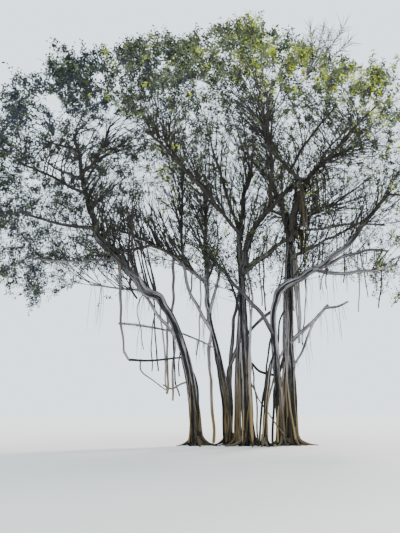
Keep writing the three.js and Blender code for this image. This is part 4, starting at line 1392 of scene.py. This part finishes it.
# Low in the crown, from its left to its right, this part of the shoots grows
SHOOTS_BELOW = ((-0.9, 0.8), (-0.5, 0.6), (0.0, 0.5), (0.2, 0.3))
spray_shares = share_of_crown(np.array([spray[2] for spray in sprays]))
shoots, shoot_spray = [], []
for number, spray in enumerate(sprays):
    direction = crown_direction(spray[2])[0]
    shade = np.interp(direction[0], (-0.2, 0.2), SHOOTS_IN_SHADE)
    leafy = np.clip((spray_shares[number] - LEAFY_FROM) / LEAFY_OVER, shade, 1)
    low = np.interp(direction[0], *np.array(SHOOTS_BELOW).T)
    leafy *= np.interp(direction[2] - 0.1 * (direction[0] > 0.1), (0.2, 0.5), (low, 1))
    round_top = 0.75 * direction[1] + 0.66 * direction[2]
    even = np.interp(direction[0], (-0.1, 0.2), (0.66, 0.45))
    closeness = math.exp(-((round_top - ROUND_TOP_MIDDLE) / ROUND_TOP_REACH) ** 2)
    close = even + (SHOOTS_ROUND_TOP - even) * closeness
    leafy *= SHOOTS_EVERYWHERE * (close if direction[0] > -0.3 else SHOOTS_AT_LEFT)
    if spray_shares[number] < DEEP_INSIDE:
        leafy = SHOOTS_DEEP_INSIDE
    for k in range(SHOOTS):
        root, ahead = on_bow(spray, 1.0 if k == 0 else twig_dice.uniform(0.35, 0.97))
        narrow, wide = (4, 20) if k == 0 else (25, 65)
        out = unit(lean_from(ahead, narrow, wide)[1] + (0, 0, 0.15))
        length = twig_dice.uniform(*SHOOT_LENGTHS)
        tip = root + out * length + (0, 0, -0.08 * length)
        if twig_dice.uniform() < leafy:
            shoots.append((root, root + out * length * 0.5, tip, SHOOT_RADIUS, SHOOT_RADIUS * 0.6))
            shoot_spray.append(number)

mass_names = list(MASSES)
girths = np.array([twig[3] for twig in twigs])
lengths = np.array([norm(twig[2] - twig[0]) for twig in twigs])
# Short thin twigs are drawn with fewer rings, as if they were thinner still
girths = np.where((girths < 0.02) & (lengths < 1.1), 0.005, girths)
# Thicker than one radius and up to another, and with so many rings and sides
BATCHES = ((0.05, 9, 10, 6), (0.028, 0.05, 7, 4), (0.006, 0.028, 4, 3), (0, 0.006, 3, 3))
batches = [([twigs[k] for k in np.flatnonzero((girths > low) & (girths <= high))], rings, sides)
           for low, high, rings, sides in BATCHES]
join_twigs("branches", batches[:2], twig_bark, mass_names)
join_twigs("twigs", batches[2:], twig_bark, mass_names)
join_twigs("shoots", [(shoots, 2, 3)], twig_bark, mass_names)


# Leaves
# Fig leaves are leathery ovals, set singly round the shoots and drawn longer than life. Old
# ones are deep green, and almost blue in painted shade; young ones and those in painted sunlight
# are lime.

LEAVES_ON_SHOOT = 5
LEAF_LENGTHS = (0.105, 0.175)
LEAF_SPREADS = (35, 80)
leaf_dice = np.random.default_rng(3307)
TONES = {
    "navy": "#172334",
    "shade_green": "#181f14",
    "deep_green": "#253120",
    "olive": "#434a2c",
    "grey_green": "#6a7355",
    "mid_green": "#56692d",
    "yellow_green": "#a9b433",
    "lime": "#dae334",
}
# How often each tone comes up in the middle, at the left in painted shade, in young growth and
# painted sunlight, and inside in painted shade
MIDDLE_TONES = [0.03, 0.06, 0.13, 0.22, 0.33, 0.10, 0.11, 0.02]
LEFT_TONES = [0.42, 0.16, 0.20, 0.10, 0.10, 0.02, 0.0, 0.0]
LIT_TONES = [0.0, 0.02, 0.03, 0.05, 0.06, 0.10, 0.30, 0.44]
INNER_TONES = [0.06, 0.44, 0.26, 0.14, 0.07, 0.03, 0.0, 0.0]
# Where young growth and painted sunlight show: the middle of each spot and how far it reaches
YOUNG_AND_SUNLIT_SPOTS = (((0.7, -6.5, 19.1), 1.5), ((1.5, -6.5, 18.5), 1.3), ((2.7, -6.5, 18.8), 1.4),
               ((5.0, -6.5, 17.2), 0.9), ((6.2, -6, 16.2), 0.8), ((-2.5, -6.5, 19.8), 0.9),
               ((3, 5, 19), 2.0), ((-5, 5, 18), 1.8))
SAME_AS_SPRAY = 0.55


def tones_of(middles):
    """The tone of each shoot: blue and dark at the left as painted shade, olive in the middle,
    lime where new growth and painted sunlight show, and darkest in the painted shade inside the
    crown."""
    dice = np.random.default_rng(3511)
    # Dark blue at the left is painted shade; lime grows towards the upper right and in spots,
    # partly young growth and partly painted sunlight
    left = np.clip((-2.5 - middles[:, 0]) / 5.0, 0, 1)
    young_and_sunlit = 0.1 * np.clip((middles[:, 0] + middles[:, 2] * 1.2 - 18.5) / 8.0, 0, 1) * (1 - left)
    for spot, reach in YOUNG_AND_SUNLIT_SPOTS:
        away = norm((middles - np.array(spot)) * (1, 0.5, 1), axis=1) / reach
        young_and_sunlit = np.maximum(young_and_sunlit, 0.98 * np.exp(-away ** 2))
    young_and_sunlit = np.clip(young_and_sunlit + 0.2 * lumpy(middles, 0.8) * (young_and_sunlit > 0.1), 0, 1)
    inner = np.clip((0.86 - share_of_crown(middles)) / 0.16, 0, 0.9)
    chances = np.array([MIDDLE_TONES])
    for part, row in ((left, LEFT_TONES), (young_and_sunlit, LIT_TONES), (inner, INNER_TONES)):
        chances = chances * (1 - part[:, None]) + np.array([row]) * part[:, None]
    throws = dice.uniform(size=len(middles))[:, None]
    return (np.cumsum(chances, axis=1) / chances.sum(1)[:, None] < throws).sum(1).clip(0, 7)


def unit_rows(rows):
    return rows / norm(rows, axis=-1)[..., None]


# Most shoots share the tone of their spray, and the others have one of their own
spray_tone = tones_of(np.array([spray[2] for spray in sprays]))[np.array(shoot_spray)]
own_tone = tones_of(np.array([shoot[2] for shoot in shoots]))
same = leaf_dice.uniform(size=len(shoots)) < SAME_AS_SPRAY
shoot_tone = np.where(same, spray_tone, own_tone)
roots, handles, ends = (np.array([shoot[k] for shoot in shoots])[:, None] for k in range(3))
count = len(shoots)
t = (np.arange(LEAVES_ON_SHOOT) + 0.6) / LEAVES_ON_SHOOT
t = 0.12 + 0.88 * t + leaf_dice.uniform(-0.03, 0.03, (count, LEAVES_ON_SHOOT))
leaf_roots = bow_points(roots, handles, ends, np.clip(t, 0, 1)[..., None]).reshape(-1, 3)
ahead = unit_rows(ends - roots)
side = unit_rows(np.cross(ahead, np.array([0.2, 0.1, 0.97])))
up = np.cross(side, ahead)
turn = np.arange(LEAVES_ON_SHOOT) * GOLDEN_ANGLE + leaf_dice.uniform(0, 2 * math.pi, (count, 1))
spread = np.radians(leaf_dice.uniform(*LEAF_SPREADS, (count, LEAVES_ON_SHOOT)))[..., None]
round_shoot = side * np.cos(turn)[..., None] + up * np.sin(turn)[..., None]
leaf_ahead = (ahead * np.cos(spread) + round_shoot * np.sin(spread)).reshape(-1, 3)
leaf_ahead = unit_rows(leaf_ahead - np.array([0, 0, 0.25]))
sky = leaf_dice.normal(size=leaf_roots.shape) * 0.55 + np.array([0, 0, 1.0])
across = unit_rows(np.cross(leaf_ahead, sky))
face = np.cross(across, leaf_ahead)
length = leaf_dice.uniform(*LEAF_LENGTHS, len(leaf_roots))[:, None]
tone_of_leaf = np.repeat(shoot_tone, LEAVES_ON_SHOOT)

# The outline of a leaf: along, across and above, as shares of its length
LEAF_OUTLINE = ((0.0, 0.0, 0.0), (0.28, 0.22, 0.07), (0.7, 0.19, 0.04), (1.0, 0.0, -0.1),
                (0.7, -0.19, 0.04), (0.28, -0.22, 0.07))
leaf_points = np.stack([leaf_roots + (leaf_ahead * a + across * b + face * c) * length
                        for a, b, c in LEAF_OUTLINE], axis=1)
leaf_tips = leaf_points[:, 3]
OVER_THE_BOX = 0.3
inside = (leaf_tips > np.array(cad_box[0]) - OVER_THE_BOX).all(1)
inside &= (leaf_tips < np.array(cad_box[1]) + OVER_THE_BOX).all(1)
LEAF_FACES = np.array([[0, 1, 2, 3], [0, 3, 4, 5]])
LEAVES_IN_PIECE = 49000
for number, tone_name in enumerate(TONES):
    material, _, _ = new_material(tone_name + "_fig_leaf", TONES[tone_name], 0.45, 1.45)
    chosen = leaf_points[inside & (tone_of_leaf == number)]
    for k in range(0, len(chosen), LEAVES_IN_PIECE):
        part = chosen[k:k + LEAVES_IN_PIECE]
        first_corners = np.arange(len(part)) * len(LEAF_OUTLINE)
        faces = (LEAF_FACES[None] + first_corners[:, None, None]).reshape(-1, 4)
        name = f"{tone_name}_leaves_{k // LEAVES_IN_PIECE + 1}"
        data = mesh_from_arrays(name, part.reshape(-1, 3), [faces])
        add_piece(name, data, material, mass_names)


# Floor, light and camera
# A plain pale floor, a broad soft key light from the upper right and behind, and pale light
# all round. The camera stands where a person did, on the ground in front, looking up.

FLOOR_HALF = 420
mesh = bmesh.new()
bmesh.ops.create_grid(mesh, x_segments=1, y_segments=1, size=FLOOR_HALF)
data = bpy.data.meshes.new("floor")
mesh.to_mesh(data)
mesh.free()
floor = new_object("floor", data)
material, _, _ = new_material("pale_floor", "#dcdad4", 0.9)
data.materials.append(material)

world = bpy.data.worlds.new("pale_sky")
world.use_nodes = True
background = world.node_tree.nodes["Background"]
background.inputs["Color"].default_value = linear("#dbe8f3")
background.inputs["Strength"].default_value = 2.6
bpy.context.scene.world = world

light = bpy.data.lights.new("key", "SUN")
light.energy = 4.0
light.angle = math.radians(12)
light.color = linear("#fff4e2")[:3]
key = new_object("key", light)
key.rotation_euler = (math.radians(-32), math.radians(38), 0)

camera_data = bpy.data.cameras.new("camera")
camera_data.lens = 29.04
camera_data.sensor_width = 36
camera_data.clip_end = 2000
camera = new_object("camera", camera_data)
camera.location = (-2.48, -24.0, 1.6)
camera.rotation_euler = (math.radians(90 + 18.8), 0, 0)
bpy.context.scene.camera = camera
